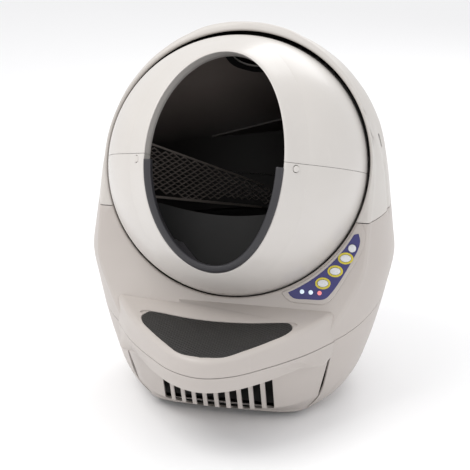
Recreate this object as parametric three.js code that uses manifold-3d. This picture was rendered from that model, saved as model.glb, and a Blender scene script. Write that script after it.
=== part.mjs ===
// Automatic rotating-globe litter box: a base with a step and a waste drawer, a hinged
// bonnet, and a tilted globe that a gear motor turns. Millimetres, +Z up, front toward -Y.
import * as THREE from 'three';
import { mergeVertices } from 'three/addons/utils/BufferGeometryUtils.js';
import Module from 'manifold-3d';

const wasm = await Module();
wasm.setup();

// Overall sizes
const WIDTH = 616;
const DEPTH = 686;
const HEIGHT = 749;
const WALL = 4.5;
const GAP = 0.3;
const FLOOR_Z = 8;

// The outlines below are drawn at these sizes and stretched to the overall sizes.
const DRAWN = { width: 616, depth: 686, height: 749 };
const stretchX = WIDTH / DRAWN.width;
const stretchY = DEPTH / DRAWN.depth;
const stretchZ = (HEIGHT - FLOOR_Z) / (DRAWN.height - FLOOR_Z);

// Globe
const TILT = THREE.MathUtils.degToRad(20.4);
const LEDGE_Z = 240;
const GLOBE_RISE = 237.862;
const GLOBE_Z = LEDGE_Z + GLOBE_RISE;
const GLOBE_R = WIDTH * 0.4172;
const GLOBE_WALL = 3.5;
const ENTRY_HALF_W = GLOBE_R * 0.503;
const ENTRY_HALF_H = GLOBE_R * 0.797;
const ENTRY_DROP = 4.6;
const RING_R = GLOBE_R + 4;
const PORT_R = 50;

// Ring gear, drive gear and support rollers (axial places are along the globe's axis)
const RING_TEETH = 80;
const PINION_TEETH = 10;
const RING_PITCH_R = GLOBE_R + 4;
const PINION_PITCH_R = RING_PITCH_R * PINION_TEETH / RING_TEETH;
const GEAR_BACK = -38;
const GEAR_FRONT = -22;
const TRACK_FRONT = -5;
const TRACK_R = GLOBE_R + 3;
const PINION_ANGLE = THREE.MathUtils.degToRad(-40);
const ROLLER_R = 14;
const ROLLER_ANGLE = THREE.MathUtils.degToRad(27);

// Base, step and drawer
const FRONT_LEAN = Math.atan(0.403);
const LEDGE_Y = -DEPTH * 0.1895;
const SEAM_Z = 400;
const PART_Z = 178;
const STEP_RISE = 0.123;
const SIDE_SEAM_RISE = 0.3;
const DRAWER_LEAN = 0.158;
const LIP_Z = 145;
const STEP_TOP_Z = 213;
const SLOT_COUNT = 10;
const SLOT_PITCH = 22.7;
const SLOT_W = 14.5;

const colours = {
  shell: 0xe6e2db,
  globe: 0xece8e1,
  rubber: 0x434144,
  black: 0x1d1c1c,
  navy: 0x2b2b70,
  yellow: 0xb9a82e,
  white: 0xf0f0ec,
  steel: 0x9a9ca0,
  green: 0x2f6b3c,
  red: 0xc0505a,
};

// ---------------------------------------------------------------- solids

function solid(geometry) {
  const bare = geometry.index ? geometry.toNonIndexed() : geometry.clone();
  bare.deleteAttribute('normal');
  bare.deleteAttribute('uv');
  const merged = mergeVertices(bare, 1e-4);
  const mesh = new wasm.Mesh({
    numProp: 3,
    vertProperties: new Float32Array(merged.attributes.position.array),
    triVerts: new Uint32Array(merged.index.array),
  });
  return new wasm.Manifold(mesh);
}

function placed(body, matrix) {
  return body.transform(matrix.elements);
}

function frameAt(tilt, origin) {
  const across = new THREE.Vector3(1, 0, 0);
  const up = new THREE.Vector3(0, Math.sin(tilt), Math.cos(tilt));
  const out = new THREE.Vector3(0, -Math.cos(tilt), Math.sin(tilt));
  return new THREE.Matrix4().makeBasis(across, up, out).setPosition(origin);
}

const globeFrame = frameAt(TILT, new THREE.Vector3(0, 0, GLOBE_Z));
const faceFrame = frameAt(FRONT_LEAN, new THREE.Vector3(0, LEDGE_Y, LEDGE_Z));

function inGlobe(body) {
  return placed(body, globeFrame);
}

function onFace(body) {
  return placed(body, faceFrame);
}

function box(x0, x1, y0, y1, z0, z1) {
  const geometry = new THREE.BoxGeometry(x1 - x0, y1 - y0, z1 - z0);
  geometry.translate((x0 + x1) / 2, (y0 + y1) / 2, (z0 + z1) / 2);
  return solid(geometry);
}

// A cylinder along Z from z0 to z1, with its axis at (x, y).
function rod(radius, x, y, z0, z1, sides = 24) {
  const geometry = new THREE.CylinderGeometry(radius, radius, z1 - z0, sides);
  geometry.rotateX(Math.PI / 2);
  geometry.translate(x, y, (z0 + z1) / 2);
  return solid(geometry);
}

function cone(r0, r1, x, y, z0, z1, sides = 24) {
  const geometry = new THREE.CylinderGeometry(r1, r0, z1 - z0, sides);
  geometry.rotateX(Math.PI / 2);
  geometry.translate(x, y, (z0 + z1) / 2);
  return solid(geometry);
}

function crossRod(radius, x0, x1, y, z, sides = 20) {
  const geometry = new THREE.CylinderGeometry(radius, radius, x1 - x0, sides);
  geometry.rotateZ(Math.PI / 2);
  geometry.translate((x0 + x1) / 2, y, z);
  return solid(geometry);
}

function ball(radius, steps = 16, around = 40) {
  const profile = [];
  for (let i = 0; i <= steps; i++) {
    const angle = Math.PI * i / steps - Math.PI / 2;
    const r = i === 0 || i === steps ? 0 : radius * Math.cos(angle);
    profile.push(new THREE.Vector2(r, radius * Math.sin(angle)));
  }
  const geometry = new THREE.LatheGeometry(profile, around);
  geometry.rotateX(Math.PI / 2);
  return solid(geometry);
}

// Everything on the far side of a plane, away from its normal.
function behind(point, normal) {
  const size = 2400;
  const geometry = new THREE.BoxGeometry(size, size, size);
  geometry.translate(0, 0, -size / 2);
  const turn = new THREE.Quaternion();
  turn.setFromUnitVectors(new THREE.Vector3(0, 0, 1), normal.clone().normalize());
  geometry.applyQuaternion(turn);
  geometry.translate(point.x, point.y, point.z);
  return solid(geometry);
}

// A solid skinned over closed rings of points, with both ends capped.
function loft(rings) {
  const count = rings[0].length;
  const positions = [];
  const index = [];
  for (const ring of rings) {
    for (const p of ring) {
      positions.push(p.x, p.y, p.z);
    }
  }
  for (let r = 0; r + 1 < rings.length; r++) {
    for (let i = 0; i < count; i++) {
      const a = r * count + i;
      const b = r * count + (i + 1) % count;
      index.push(a, b, a + count, b, b + count, a + count);
    }
  }
  for (const last of [false, true]) {
    const ring = last ? rings[rings.length - 1] : rings[0];
    const start = last ? (rings.length - 1) * count : 0;
    const middle = new THREE.Vector3();
    ring.forEach((p) => middle.add(p));
    middle.divideScalar(count);
    const centre = positions.length / 3;
    positions.push(middle.x, middle.y, middle.z);
    for (let i = 0; i < count; i++) {
      const a = start + i;
      const b = start + (i + 1) % count;
      index.push(centre, last ? a : b, last ? b : a);
    }
  }
  const geometry = new THREE.BufferGeometry();
  geometry.setAttribute('position', new THREE.Float32BufferAttribute(positions, 3));
  geometry.setIndex(index);
  return solid(geometry);
}

// A ring-shaped solid skinned over loops that follow one another round a closed path.
function sweep(loops) {
  const count = loops[0].length;
  const positions = [];
  const index = [];
  for (const ring of loops) {
    for (const p of ring) {
      positions.push(p.x, p.y, p.z);
    }
  }
  const total = loops.length;
  for (let r = 0; r < total; r++) {
    for (let i = 0; i < count; i++) {
      const a = r * count + i;
      const b = r * count + (i + 1) % count;
      const c = ((r + 1) % total) * count + i;
      const d = ((r + 1) % total) * count + (i + 1) % count;
      index.push(a, b, c, b, d, c);
    }
  }
  const geometry = new THREE.BufferGeometry();
  geometry.setAttribute('position', new THREE.Float32BufferAttribute(positions, 3));
  geometry.setIndex(index);
  return solid(geometry);
}

// A flat outline in x, y pushed out along z.
function prism(points, z0, z1) {
  const shape = new THREE.Shape(points.map(([x, y]) => new THREE.Vector2(x, y)));
  const geometry = new THREE.ExtrudeGeometry(shape, { depth: z1 - z0, bevelEnabled: false });
  geometry.translate(0, 0, z0);
  return solid(geometry);
}

function oval(halfW, halfH, x, y, turn, sides = 16) {
  const points = [];
  for (let i = 0; i < sides; i++) {
    const a = 2 * Math.PI * i / sides;
    const px = halfW * Math.cos(a);
    const py = halfH * Math.sin(a);
    points.push([
      x + px * Math.cos(turn) - py * Math.sin(turn),
      y + px * Math.sin(turn) + py * Math.cos(turn),
    ]);
  }
  return points;
}

// ---------------------------------------------------------------- outer body

// One level of the outer body: height, half width, middle, half depth and squareness.
const LEVELS = [
  [FLOOR_Z, 183, 34, 182, 3],
  [30, 217, 44, 199, 2.8],
  [60, 241, 40, 215, 2.4],
  [120, 265, 36, 232, 2.15],
  [180, 282, 36, 252, 2.05],
  [240, 296, 40, 268, 2],
  [305, 308, 46, 283, 2],
  [350, 302.5, 50, 284, 2],
  [400, 296, 56, 279, 2],
  [476, 286, 60, 263, 2],
  [560, 266, 68, 222, 2],
  [620, 234, 72, 184, 2],
  [680, 178, 78, 129, 2],
  [715, 124, 80, 83, 2],
  [738, 66, 80, 32, 2],
  [749, 8, 79, 6, 2],
];

function bodyRing([z, halfW, middle, halfD, square], inset) {
  const ring = [];
  const count = 40;
  for (let i = 0; i < count; i++) {
    const a = 2 * Math.PI * i / count;
    const c = Math.cos(a);
    const s = Math.sin(a);
    const w = Math.max(halfW * stretchX - inset, 2);
    const d = Math.max(halfD * stretchY - inset, 2);
    const x = w * Math.sign(c) * Math.abs(c) ** (2 / square);
    const y = middle * stretchY + d * Math.sign(s) * Math.abs(s) ** (2 / square);
    ring.push(new THREE.Vector3(x, y, FLOOR_Z + (z - FLOOR_Z) * stretchZ));
  }
  return ring;
}

function outerBody(inset) {
  const body = loft(LEVELS.map((level) => bodyRing(level, inset)));
  if (inset === 0) {
    return body;
  }
  return body.translate([0, 0, -inset]).intersect(behindHeight(HEIGHT - inset));
}

function behindHeight(z) {
  return behind(new THREE.Vector3(0, 0, z), new THREE.Vector3(0, 0, 1));
}

function aboveHeight(z) {
  return behind(new THREE.Vector3(0, 0, z), new THREE.Vector3(0, 0, -1));
}

const faceOut = new THREE.Vector3(0, -Math.cos(FRONT_LEAN), Math.sin(FRONT_LEAN));

function behindFace(depth) {
  const point = new THREE.Vector3(0, LEDGE_Y, LEDGE_Z).addScaledVector(faceOut, -depth);
  return behind(point, faceOut);
}

const seamNormal = new THREE.Vector3(0, -SIDE_SEAM_RISE, 1).normalize();
const seamPoint = new THREE.Vector3(0, LEDGE_Y, PART_Z);

function belowSideSeam(drop) {
  return behind(seamPoint.clone().addScaledVector(seamNormal, -drop), seamNormal);
}

function aboveSideSeam() {
  return behind(seamPoint, seamNormal.clone().negate());
}

const drawerNormal = new THREE.Vector3(0, -1, -DRAWER_LEAN).normalize();

function behindDrawerPlane(gap) {
  const point = new THREE.Vector3(0, LEDGE_Y, PART_Z).addScaledVector(drawerNormal, -gap);
  return behind(point, drawerNormal);
}

function aheadOfDrawerPlane() {
  const point = new THREE.Vector3(0, LEDGE_Y, PART_Z);
  return behind(point, drawerNormal.clone().negate());
}

const body = outerBody(0);
const bodyInside = outerBody(WALL);

// ---------------------------------------------------------------- step

function stretched(points) {
  return points.map(([x, y]) => [x * stretchX, y * stretchY]);
}

// A plan outline, mirrored left to right, from points given front middle to rear corner.
function mirroredPlan(half, count) {
  const curve = new THREE.SplineCurve(half.map(([x, y]) => new THREE.Vector2(x, y)));
  const right = curve.getPoints(count);
  const left = right.slice(1).reverse().map((p) => new THREE.Vector2(-p.x, p.y));
  return [...left, ...right];
}

function planRing(half, inset, heightAt, count = 11) {
  const middle = new THREE.Vector2(0, LEDGE_Y);
  return mirroredPlan(half, count).map((p) => {
    const away = p.clone().sub(middle);
    const length = away.length();
    const q = middle.clone().addScaledVector(away, (length - inset) / length);
    return new THREE.Vector3(q.x, q.y, heightAt(q.y));
  });
}

const stepFrontY = -DEPTH / 2;
const STEP_PLAN = [
  [0, stepFrontY],
  [55 * stretchX, stepFrontY + 18 * stretchY],
  [113 * stretchX, stepFrontY + 70 * stretchY],
  [174 * stretchX, LEDGE_Y - 71 * stretchY],
  [217 * stretchX, LEDGE_Y],
];
const stepTop = (y) => STEP_TOP_Z + STEP_RISE * (y - stepFrontY);

function stepBody(inset, topDrop) {
  const rings = [
    planRing(STEP_PLAN, inset, () => PART_Z - topDrop),
    planRing(STEP_PLAN, inset, (y) => stepTop(y) - 12 - topDrop),
    planRing(STEP_PLAN, inset + 2, (y) => stepTop(y) - 5 - topDrop),
    planRing(STEP_PLAN, inset + 6, (y) => stepTop(y) - 1.2 - topDrop),
    planRing(STEP_PLAN, inset + 11, (y) => stepTop(y) - topDrop),
  ];
  const nose = loft(rings);
  const root = box(-212 * stretchX + inset, 212 * stretchX - inset, LEDGE_Y - 5, LEDGE_Y + 40,
    PART_Z - topDrop, LEDGE_Z - 6 - topDrop);
  return nose.add(root.intersect(body));
}

const MAT_PLAN = [
  [0, stepFrontY + 12],
  [40, stepFrontY + 20],
  [74, stepFrontY + 48],
  [110, stepFrontY + 84],
  [139, stepFrontY + 118],
  [145, stepFrontY + 140],
  [138, stepFrontY + 158],
  [118, stepFrontY + 157],
  [60, stepFrontY + 146],
  [0, stepFrontY + 142],
];

function matBody(grow, bottom, top) {
  const plan = mirroredPlan(MAT_PLAN, 18).slice(1);
  const centre = new THREE.Vector2(0, stepFrontY + 90);
  const ringAt = (rise) => plan.map((p) => {
    const away = p.clone().sub(centre);
    const scale = 1 + grow / away.length();
    const q = centre.clone().addScaledVector(away, scale);
    return new THREE.Vector3(q.x, q.y, stepTop(q.y) + rise);
  });
  return loft([ringAt(bottom), ringAt(top)]);
}

// ---------------------------------------------------------------- globe

function onSphere(x, y, r) {
  return new THREE.Vector3(x, y, Math.sqrt(Math.max(r * r - x * x - y * y, 0)));
}

// A band that follows the entry's edge: each profile point is an offset outward from the
// edge and a distance from the globe's centre.
function entryBand(profile, steps) {
  const loops = [];
  for (let i = 0; i < steps; i++) {
    const a = 2 * Math.PI * i / steps;
    loops.push(profile.map(([away, r]) => onSphere(
      (ENTRY_HALF_W + away) * Math.cos(a),
      (ENTRY_HALF_H + away) * Math.sin(a) - ENTRY_DROP,
      r,
    )));
  }
  return sweep(loops);
}

const crest = GLOBE_R + 11.5;
const entryFlange = entryBand([
  [0, GLOBE_R - 25],
  [0, crest - 1],
  [3, crest],
  [9, crest - 3],
  [20, GLOBE_R + 3.4],
  [34, GLOBE_R - 1.2],
  [12, GLOBE_R - 3.2],
  [3, GLOBE_R - 6],
  [3, GLOBE_R - 25],
], 44);

const entryHole = prism(oval(ENTRY_HALF_W, ENTRY_HALF_H, 0, -ENTRY_DROP, 0, 44), 0, 400);
const globeSkin = ball(GLOBE_R).subtract(ball(GLOBE_R - GLOBE_WALL));

// The waste port sits straight up and back so that half a turn brings it over the chute.
const portTurn = new THREE.Matrix4().makeRotationX(-Math.PI / 2 - TILT);

function atPort(shape) {
  return placed(shape, portTurn);
}

const portHole = atPort(rod(PORT_R, 0, 0, 100, 400, 32));
const globeUpperSide = box(-300, 300, GAP / 2, 320, -320, 320);
const globeLowerSide = box(-300, 300, -320, -GAP / 2, -320, 320);
const globeWhole = globeSkin.subtract(entryHole).add(entryFlange);
const capSpots = [-1, 1].map((side) => {
  const x = side * (ENTRY_HALF_W + 17);
  return onSphere(x, -10, GLOBE_R);
});

function capSolid(spot, radius, inner, outer) {
  const turn = new THREE.Quaternion();
  turn.setFromUnitVectors(new THREE.Vector3(0, 0, 1), spot.clone().normalize());
  const matrix = new THREE.Matrix4().makeRotationFromQuaternion(turn);
  return placed(rod(radius, 0, 0, inner, outer, 16), matrix);
}

const capHoles = capSpots.map((spot) => capSolid(spot, 7, GLOBE_R - 1.8, GLOBE_R + 20));
const globeUpper = globeWhole.intersect(globeUpperSide).subtract(portHole);
let globeLower = globeWhole.intersect(globeLowerSide);
capHoles.forEach((hole) => {
  globeLower = globeLower.subtract(hole);
});

const entryTrim = entryBand([
  [-15, GLOBE_R - 7],
  [-15, GLOBE_R + 4],
  [-12, GLOBE_R + 9],
  [-5, crest + 1.5],
  [-GAP, crest + 1],
  [-GAP, GLOBE_R - 7],
], 44).intersect(globeLowerSide);

function toothed(teeth, root, tip, z0, z1) {
  const points = [];
  for (let i = 0; i < teeth; i++) {
    const pitch = 2 * Math.PI / teeth;
    const at = pitch * i;
    const marks = [[-0.23, root], [-0.09, tip], [0.09, tip], [0.23, root]];
    for (const [share, r] of marks) {
      const a = at + pitch * share;
      points.push([r * Math.cos(a), r * Math.sin(a)]);
    }
  }
  return prism(points, z0, z1);
}

const ringGear = toothed(RING_TEETH, RING_PITCH_R - 3.5, RING_PITCH_R + 3, GEAR_BACK, GEAR_FRONT)
  .add(rod(TRACK_R, 0, 0, GEAR_FRONT, TRACK_FRONT, RING_TEETH))
  .subtract(rod(GLOBE_R + 0.7, 0, 0, -100, 0, RING_TEETH));

const innerR = GLOBE_R - GLOBE_WALL - GAP;
const liner = ball(innerR).subtract(ball(innerR - 3))
  .intersect(box(-300, 300, -300, -GLOBE_R * 0.4, -320, GLOBE_R * 0.43));

// The screen runs from beside the entry's left edge back toward the middle of the globe.
const roomR = innerR - 3 - GAP;
const SCREEN_TURN = THREE.MathUtils.degToRad(-36);
const SCREEN_X = -GLOBE_R * 0.35;
const screenTurn = new THREE.Matrix4().makeRotationY(SCREEN_TURN);
screenTurn.setPosition(SCREEN_X, 0, 0);

function onScreen(shape) {
  return placed(shape, screenTurn);
}

const screenTop = (n) => 8 + 0.178 * n;
let sieve = box(-1.5, 1.5, -74, 50, -200, 178)
  .intersect(behind(new THREE.Vector3(0, screenTop(0), 0), new THREE.Vector3(0, 1, -0.178)));
for (let row = 0; row < 5; row++) {
  for (let column = 0; column < 14; column++) {
    const v = -58 + row * 17;
    const n = -184 + column * 26 + (row % 2) * 13;
    const x = SCREEN_X + n * Math.sin(SCREEN_TURN);
    const far = Math.hypot(x, v, n * Math.cos(SCREEN_TURN));
    if (far > roomR - 20 || v > screenTop(n) - 14 || n > 162) continue;
    const hole = prism(oval(10.5, 12.5, n, v, 0, 4), -5, 5);
    sieve = sieve.subtract(placed(hole, new THREE.Matrix4().makeRotationY(-Math.PI / 2)));
  }
}
const siftingScreen = onScreen(sieve).intersect(ball(roomR));

const septumTurn = new THREE.Matrix4().makeRotationZ(THREE.MathUtils.degToRad(17));
septumTurn.setPosition(0, 78, 0);
const septum = placed(box(-300, 300, -1.5, 1.5, -300, -30), septumTurn)
  .intersect(ball(innerR))
  .intersect(onScreen(box(1.8, 700, -400, 400, -500, 500)));

const portSeal = atPort(rod(PORT_R + 12, 0, 0, 150, 300, 32).subtract(rod(PORT_R, 0, 0, 100, 320, 32)))
  .intersect(ball(innerR).subtract(ball(innerR - 3)));

// ---------------------------------------------------------------- base

const grooveBack = GEAR_BACK - 8;
const grooveFront = TRACK_FRONT + 4;
const bowlGap = 4.5;
const bowlThick = 4;

function bowlSpace(extra) {
  return inGlobe(ball(GLOBE_R + bowlGap + extra, 12, 32)
    .add(rod(RING_R + extra, 0, 0, 0, 140, 64))
    .add(rod(GLOBE_R + 10 + extra, 0, 0, grooveBack - extra, grooveFront + extra, 48)));
}

const bowlInner = bowlSpace(0);
const bowlOuter = bowlSpace(bowlThick);
const bowlClear = bowlSpace(bowlThick + GAP);

const pinionAxial = [GEAR_BACK - 1, GEAR_FRONT - 0.5];
const pinionReach = RING_PITCH_R + PINION_PITCH_R + 0.8;
const pinionX = pinionReach * Math.sin(PINION_ANGLE);
const pinionY = -pinionReach * Math.cos(PINION_ANGLE);
const rollerReach = TRACK_R + ROLLER_R + 0.4;
const rollerSpots = [-1, 1].map((side) => [
  side * rollerReach * Math.sin(ROLLER_ANGLE),
  -rollerReach * Math.cos(ROLLER_ANGLE),
]);
const rollerMid = (GEAR_FRONT + TRACK_FRONT) / 2 + 3;

// Buttons and lights on the sloping face: across, up the face, half sizes and turn.
const POWER = { x: 240 * stretchX, y: 123, w: 8, h: 8, turn: 0 };
const KEYS = [
  { name: 'cycle', x: 229 * stretchX, y: 103, w: 10.5, h: 7, turn: 0.06 },
  { name: 'empty', x: 211 * stretchX, y: 77, w: 10.5, h: 7, turn: 0.06 },
  { name: 'reset', x: 189 * stretchX, y: 52, w: 10.5, h: 7, turn: 0.06 },
];
const LIGHTS = [
  { name: 'ready_light', x: 150 * stretchX, y: 33, colour: colours.white },
  { name: 'timer_light', x: 167 * stretchX, y: 33, colour: colours.white },
  { name: 'full_light', x: 184 * stretchX, y: 33, colour: colours.red },
];

const axisOnFace = (GLOBE_Z - LEDGE_Z) * Math.cos(FRONT_LEAN) + (0 - LEDGE_Y) * Math.sin(FRONT_LEAN);

// A panel outline on the face: an arc round the ring, then points down the outer edge.
function panelOutline(radius, fromAngle, toAngle, outer) {
  const points = [];
  const steps = 8;
  for (let i = 0; i <= steps; i++) {
    const a = fromAngle + (toAngle - fromAngle) * i / steps;
    points.push([radius * Math.sin(a), axisOnFace - radius * Math.cos(a)]);
  }
  const curve = new THREE.SplineCurve(outer.map(([x, y]) => new THREE.Vector2(x * stretchX, y)));
  curve.getPoints(16).forEach((p) => points.push([p.x, p.y]));
  return points;
}

const BEZEL_EDGE = [[255, 172], [262, 152], [262, 130], [256, 112], [241, 82], [225, 51], [208, 23],
  [196, 13], [160, 11], [130, 12], [116, 20]];
const OVERLAY_EDGE = [[250, 152], [254, 138], [251, 121], [240, 96], [222, 60], [206, 34],
  [194, 22], [160, 19], [136, 19], [127, 24]];
const bezelOutline = panelOutline(RING_R + 3.5, 0.43, 1.19, BEZEL_EDGE);
const overlayOutline = panelOutline(RING_R + 8.5, 0.475, 1.11, OVERLAY_EDGE);

function keyHoles(grow, z0, z1) {
  let holes = prism(oval(POWER.w + grow, POWER.h + grow, POWER.x, POWER.y, 0), z0, z1);
  for (const key of KEYS) {
    holes = holes.add(prism(oval(key.w + grow, key.h + grow, key.x, key.y, key.turn), z0, z1));
  }
  for (const light of LIGHTS) {
    holes = holes.add(rod(4.5 + grow, light.x, light.y, z0, z1, 16));
  }
  return holes;
}

const faceHoles = onFace(keyHoles(0.35, -12, 12));

const upperOuter = body.intersect(aboveSideSeam()).intersect(behindHeight(SEAM_Z - GAP / 2))
  .intersect(behindFace(0)).intersect(aboveHeight(PART_Z))
  .add(stepBody(0, 0).intersect(aboveSideSeam()));
const upperInner = bodyInside.intersect(behindFace(WALL)).intersect(behindHeight(SEAM_Z - GAP / 2 - 5))
  .add(stepBody(WALL, WALL + 2));
const inBody = bodyInside.intersect(behindFace(1)).intersect(behindHeight(SEAM_Z - 3));
const portDrop = rod(PORT_R + 3, 0, 0, 100, GLOBE_Z - 150, 32);
const pinionPocket = inGlobe(
  rod(PINION_PITCH_R + 7, pinionX, pinionY, pinionAxial[0] - 3, pinionAxial[1] + 3));
let baseUpper = upperOuter.subtract(upperInner).add(bowlOuter.intersect(inBody))
  .subtract(bowlInner)
  .subtract(portDrop)
  .subtract(pinionPocket)
  .subtract(matBody(GAP, -3.3, 20))
  .subtract(faceHoles);
for (const [x, y] of rollerSpots) {
  baseUpper = baseUpper.subtract(inGlobe(rod(ROLLER_R + 2, x, y, rollerMid - 7, rollerMid + 7)));
}

// Rear hinge: base ears either side of the bonnet's knuckle, on one pin.
const HINGE_Y = DEPTH / 2 - 5;
const HINGE_R = 5;

for (const side of [-1, 1]) {
  const [x0, x1] = side < 0 ? [-40, -14] : [14, 40];
  const ear = crossRod(HINGE_R, x0, x1, HINGE_Y, SEAM_Z)
    .add(box(x0, x1, HINGE_Y - 9, HINGE_Y + 2, SEAM_Z - 22, SEAM_Z - 3));
  const relief = body.intersect(aboveHeight(SEAM_Z)).subtract(bowlInner);
  baseUpper = baseUpper.add(ear.subtract(relief));
}
baseUpper = baseUpper.subtract(crossRod(2.3, -60, 60, HINGE_Y, SEAM_Z, 12));
const hingePin = crossRod(2, -42, 42, HINGE_Y, SEAM_Z, 12);

const TRAY = {
  halfW: 138 * stretchX, front: -96 * stretchY, back: 186 * stretchY, bottom: 15, top: 140, wall: 3,
};
const TRAY_ROOM = 2.8;
const lowerOuter = body.intersect(belowSideSeam(GAP)).intersect(behindDrawerPlane(1.2));
const lowerHollow = bodyInside.translate([0, 0, WALL]).intersect(aboveHeight(FLOOR_Z + 4));
let baseLower = lowerOuter.subtract(lowerHollow)
  .subtract(box(-TRAY.halfW - TRAY_ROOM, TRAY.halfW + TRAY_ROOM, -200 * stretchY, 0,
    TRAY.bottom - 2 * GAP, TRAY.top + 1));

const FEET = [
  { name: 'foot_front_left', x: -150 * stretchX, y: -60 * stretchY },
  { name: 'foot_front_right', x: 150 * stretchX, y: -60 * stretchY },
  { name: 'foot_rear_left', x: -120 * stretchX, y: 170 * stretchY },
  { name: 'foot_rear_right', x: 120 * stretchX, y: 170 * stretchY },
];
const INLET = { x: 90, z: 110 };
const inletY = 242.5;
baseLower = baseLower.subtract(
  solid(new THREE.BoxGeometry(20, 60, 16)).translate([INLET.x, inletY, INLET.z]));

const chute = cone(104, 74, 0, 0, 158, 205, 32).add(rod(74, 0, 0, 205, GLOBE_Z - 200, 32))
  .subtract(cone(101, 71, 0, 0, 157.9, 205, 32))
  .subtract(rod(71, 0, 0, 204.9, GLOBE_Z - 190, 32))
  .subtract(bowlClear);

// ---------------------------------------------------------------- drawer

const LIP_PLAN = [
  [0, stepFrontY + 5],
  [52 * stretchX, stepFrontY + 23 * stretchY],
  [108 * stretchX, stepFrontY + 74 * stretchY],
  [165 * stretchX, LEDGE_Y - 68 * stretchY],
  [199 * stretchX, LEDGE_Y - 47 * stretchY],
  [213 * stretchX, LEDGE_Y],
];
const PANEL_TOP = stretched([[0, -240], [60, -233], [125, -207], [175, -165], [208, LEDGE_Y / stretchY]]);
const PANEL_MID = stretched([[0, -200], [60, -194], [116, -176], [160, -142], [184, -110]]);
const PANEL_LOW = stretched([[0, -133], [70, -131], [120, -127], [148, -118], [163, -104]]);

function drawerPanel(inset, back) {
  const close = (half) => [...half, [half[half.length - 1][0], back]];
  const ring = (half, z) => planRing(close(half), inset, () => z, 13);
  return loft([
    ring(PANEL_LOW, 13),
    ring(PANEL_LOW.map(([x, y]) => [x + 7, y - 26]), 24),
    ring(PANEL_MID, 48),
    ring(PANEL_TOP, 150),
    ring(PANEL_TOP, 160),
  ]);
}

const stepSkirt = loft([
  planRing(LIP_PLAN, 3, () => LIP_Z),
  planRing(LIP_PLAN, 0, () => LIP_Z + 3),
  planRing(STEP_PLAN, 0, () => PART_Z - 1.2),
]);
const stepSkirtInside = loft([
  planRing(LIP_PLAN, WALL + 3, () => LIP_Z - 10),
  planRing(LIP_PLAN, WALL, () => LIP_Z + 3),
  planRing(STEP_PLAN, WALL, () => PART_Z + 5),
]);
const slotCuts = [];
for (let i = 0; i < SLOT_COUNT; i++) {
  const x = (i - (SLOT_COUNT - 1) / 2) * SLOT_PITCH;
  const round = solid(new THREE.CylinderGeometry(SLOT_W / 2, SLOT_W / 2, 160, 12))
    .translate([x, -190, 46 + SLOT_W / 2]);
  slotCuts.push(box(x - SLOT_W / 2, x + SLOT_W / 2, -270, -110, 46 + SLOT_W / 2, 132).add(round));
}
const lipFloor = loft([
  planRing(LIP_PLAN, 2, () => LIP_Z + 3),
  planRing(LIP_PLAN, 2, () => LIP_Z + 7),
]);
const drawerFront = stepSkirt.subtract(stepSkirtInside)
  .add(lipFloor)
  .add(drawerPanel(0, -90))
  .subtract(drawerPanel(WALL, -90).intersect(aboveHeight(13 + WALL)))
  .subtract(slotCuts.reduce((all, cut) => all.add(cut)))
  .intersect(aheadOfDrawerPlane());

const drawerTray = box(-TRAY.halfW, TRAY.halfW, TRAY.front, TRAY.back, TRAY.bottom, TRAY.top)
  .subtract(box(TRAY.wall - TRAY.halfW, TRAY.halfW - TRAY.wall, TRAY.front + TRAY.wall,
    TRAY.back - TRAY.wall, TRAY.bottom + TRAY.wall, TRAY.top + 5));
const filterFront = TRAY.front + TRAY.wall + 0.5;
const carbonFilter = box(-60, 60, filterFront, filterFront + 8.5, 60, 120);

// ---------------------------------------------------------------- bonnet

const bonnetOpening = inGlobe(rod(RING_R, 0, 0, -40, 200, 64)
  .add(box(2 - GLOBE_R, GLOBE_R - 2, -140, 0, 0, 200)));
const LATCH = {
  y: 50 * stretchY, z: FLOOR_Z + 525 * stretchZ, halfY: 6, halfZ: 14, inner: TRACK_R + 0.5, outer: 270 * stretchX,
};
let bonnetShell = body.intersect(aboveHeight(SEAM_Z + GAP / 2)).intersect(behindFace(0))
  .subtract(bodyInside.intersect(behindFace(WALL)))
  .subtract(bonnetOpening)
  .subtract(box(-400, 400, LATCH.y - LATCH.halfY - 0.4, LATCH.y + LATCH.halfY + 0.4,
    LATCH.z - LATCH.halfZ - 0.4, LATCH.z + LATCH.halfZ + 0.4));
const knuckle = crossRod(HINGE_R, -13.7, 13.7, HINGE_Y, SEAM_Z)
  .add(box(-13.7, 13.7, HINGE_Y - 9, HINGE_Y + 2, SEAM_Z + 2, SEAM_Z + 22));
bonnetShell = bonnetShell.add(knuckle).subtract(crossRod(2.3, -60, 60, HINGE_Y, SEAM_Z, 12));
baseUpper = baseUpper.subtract(crossRod(HINGE_R + 0.6, -14, 14, HINGE_Y, SEAM_Z));
bonnetShell = bonnetShell.subtract(crossRod(HINGE_R + 0.6, -40.4, -13.8, HINGE_Y, SEAM_Z))
  .subtract(crossRod(HINGE_R + 0.6, 13.8, 40.4, HINGE_Y, SEAM_Z));

function latch(side) {
  const [x0, x1] = side < 0 ? [-LATCH.outer, -LATCH.inner] : [LATCH.inner, LATCH.outer];
  const slab = box(x0, x1, LATCH.y - LATCH.halfY, LATCH.y + LATCH.halfY,
    LATCH.z - LATCH.halfZ, LATCH.z + LATCH.halfZ);
  return slab.intersect(outerBody(0.4));
}

// ---------------------------------------------------------------- the object

const object = new THREE.Group();
object.name = 'automatic_litter_box';

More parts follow.
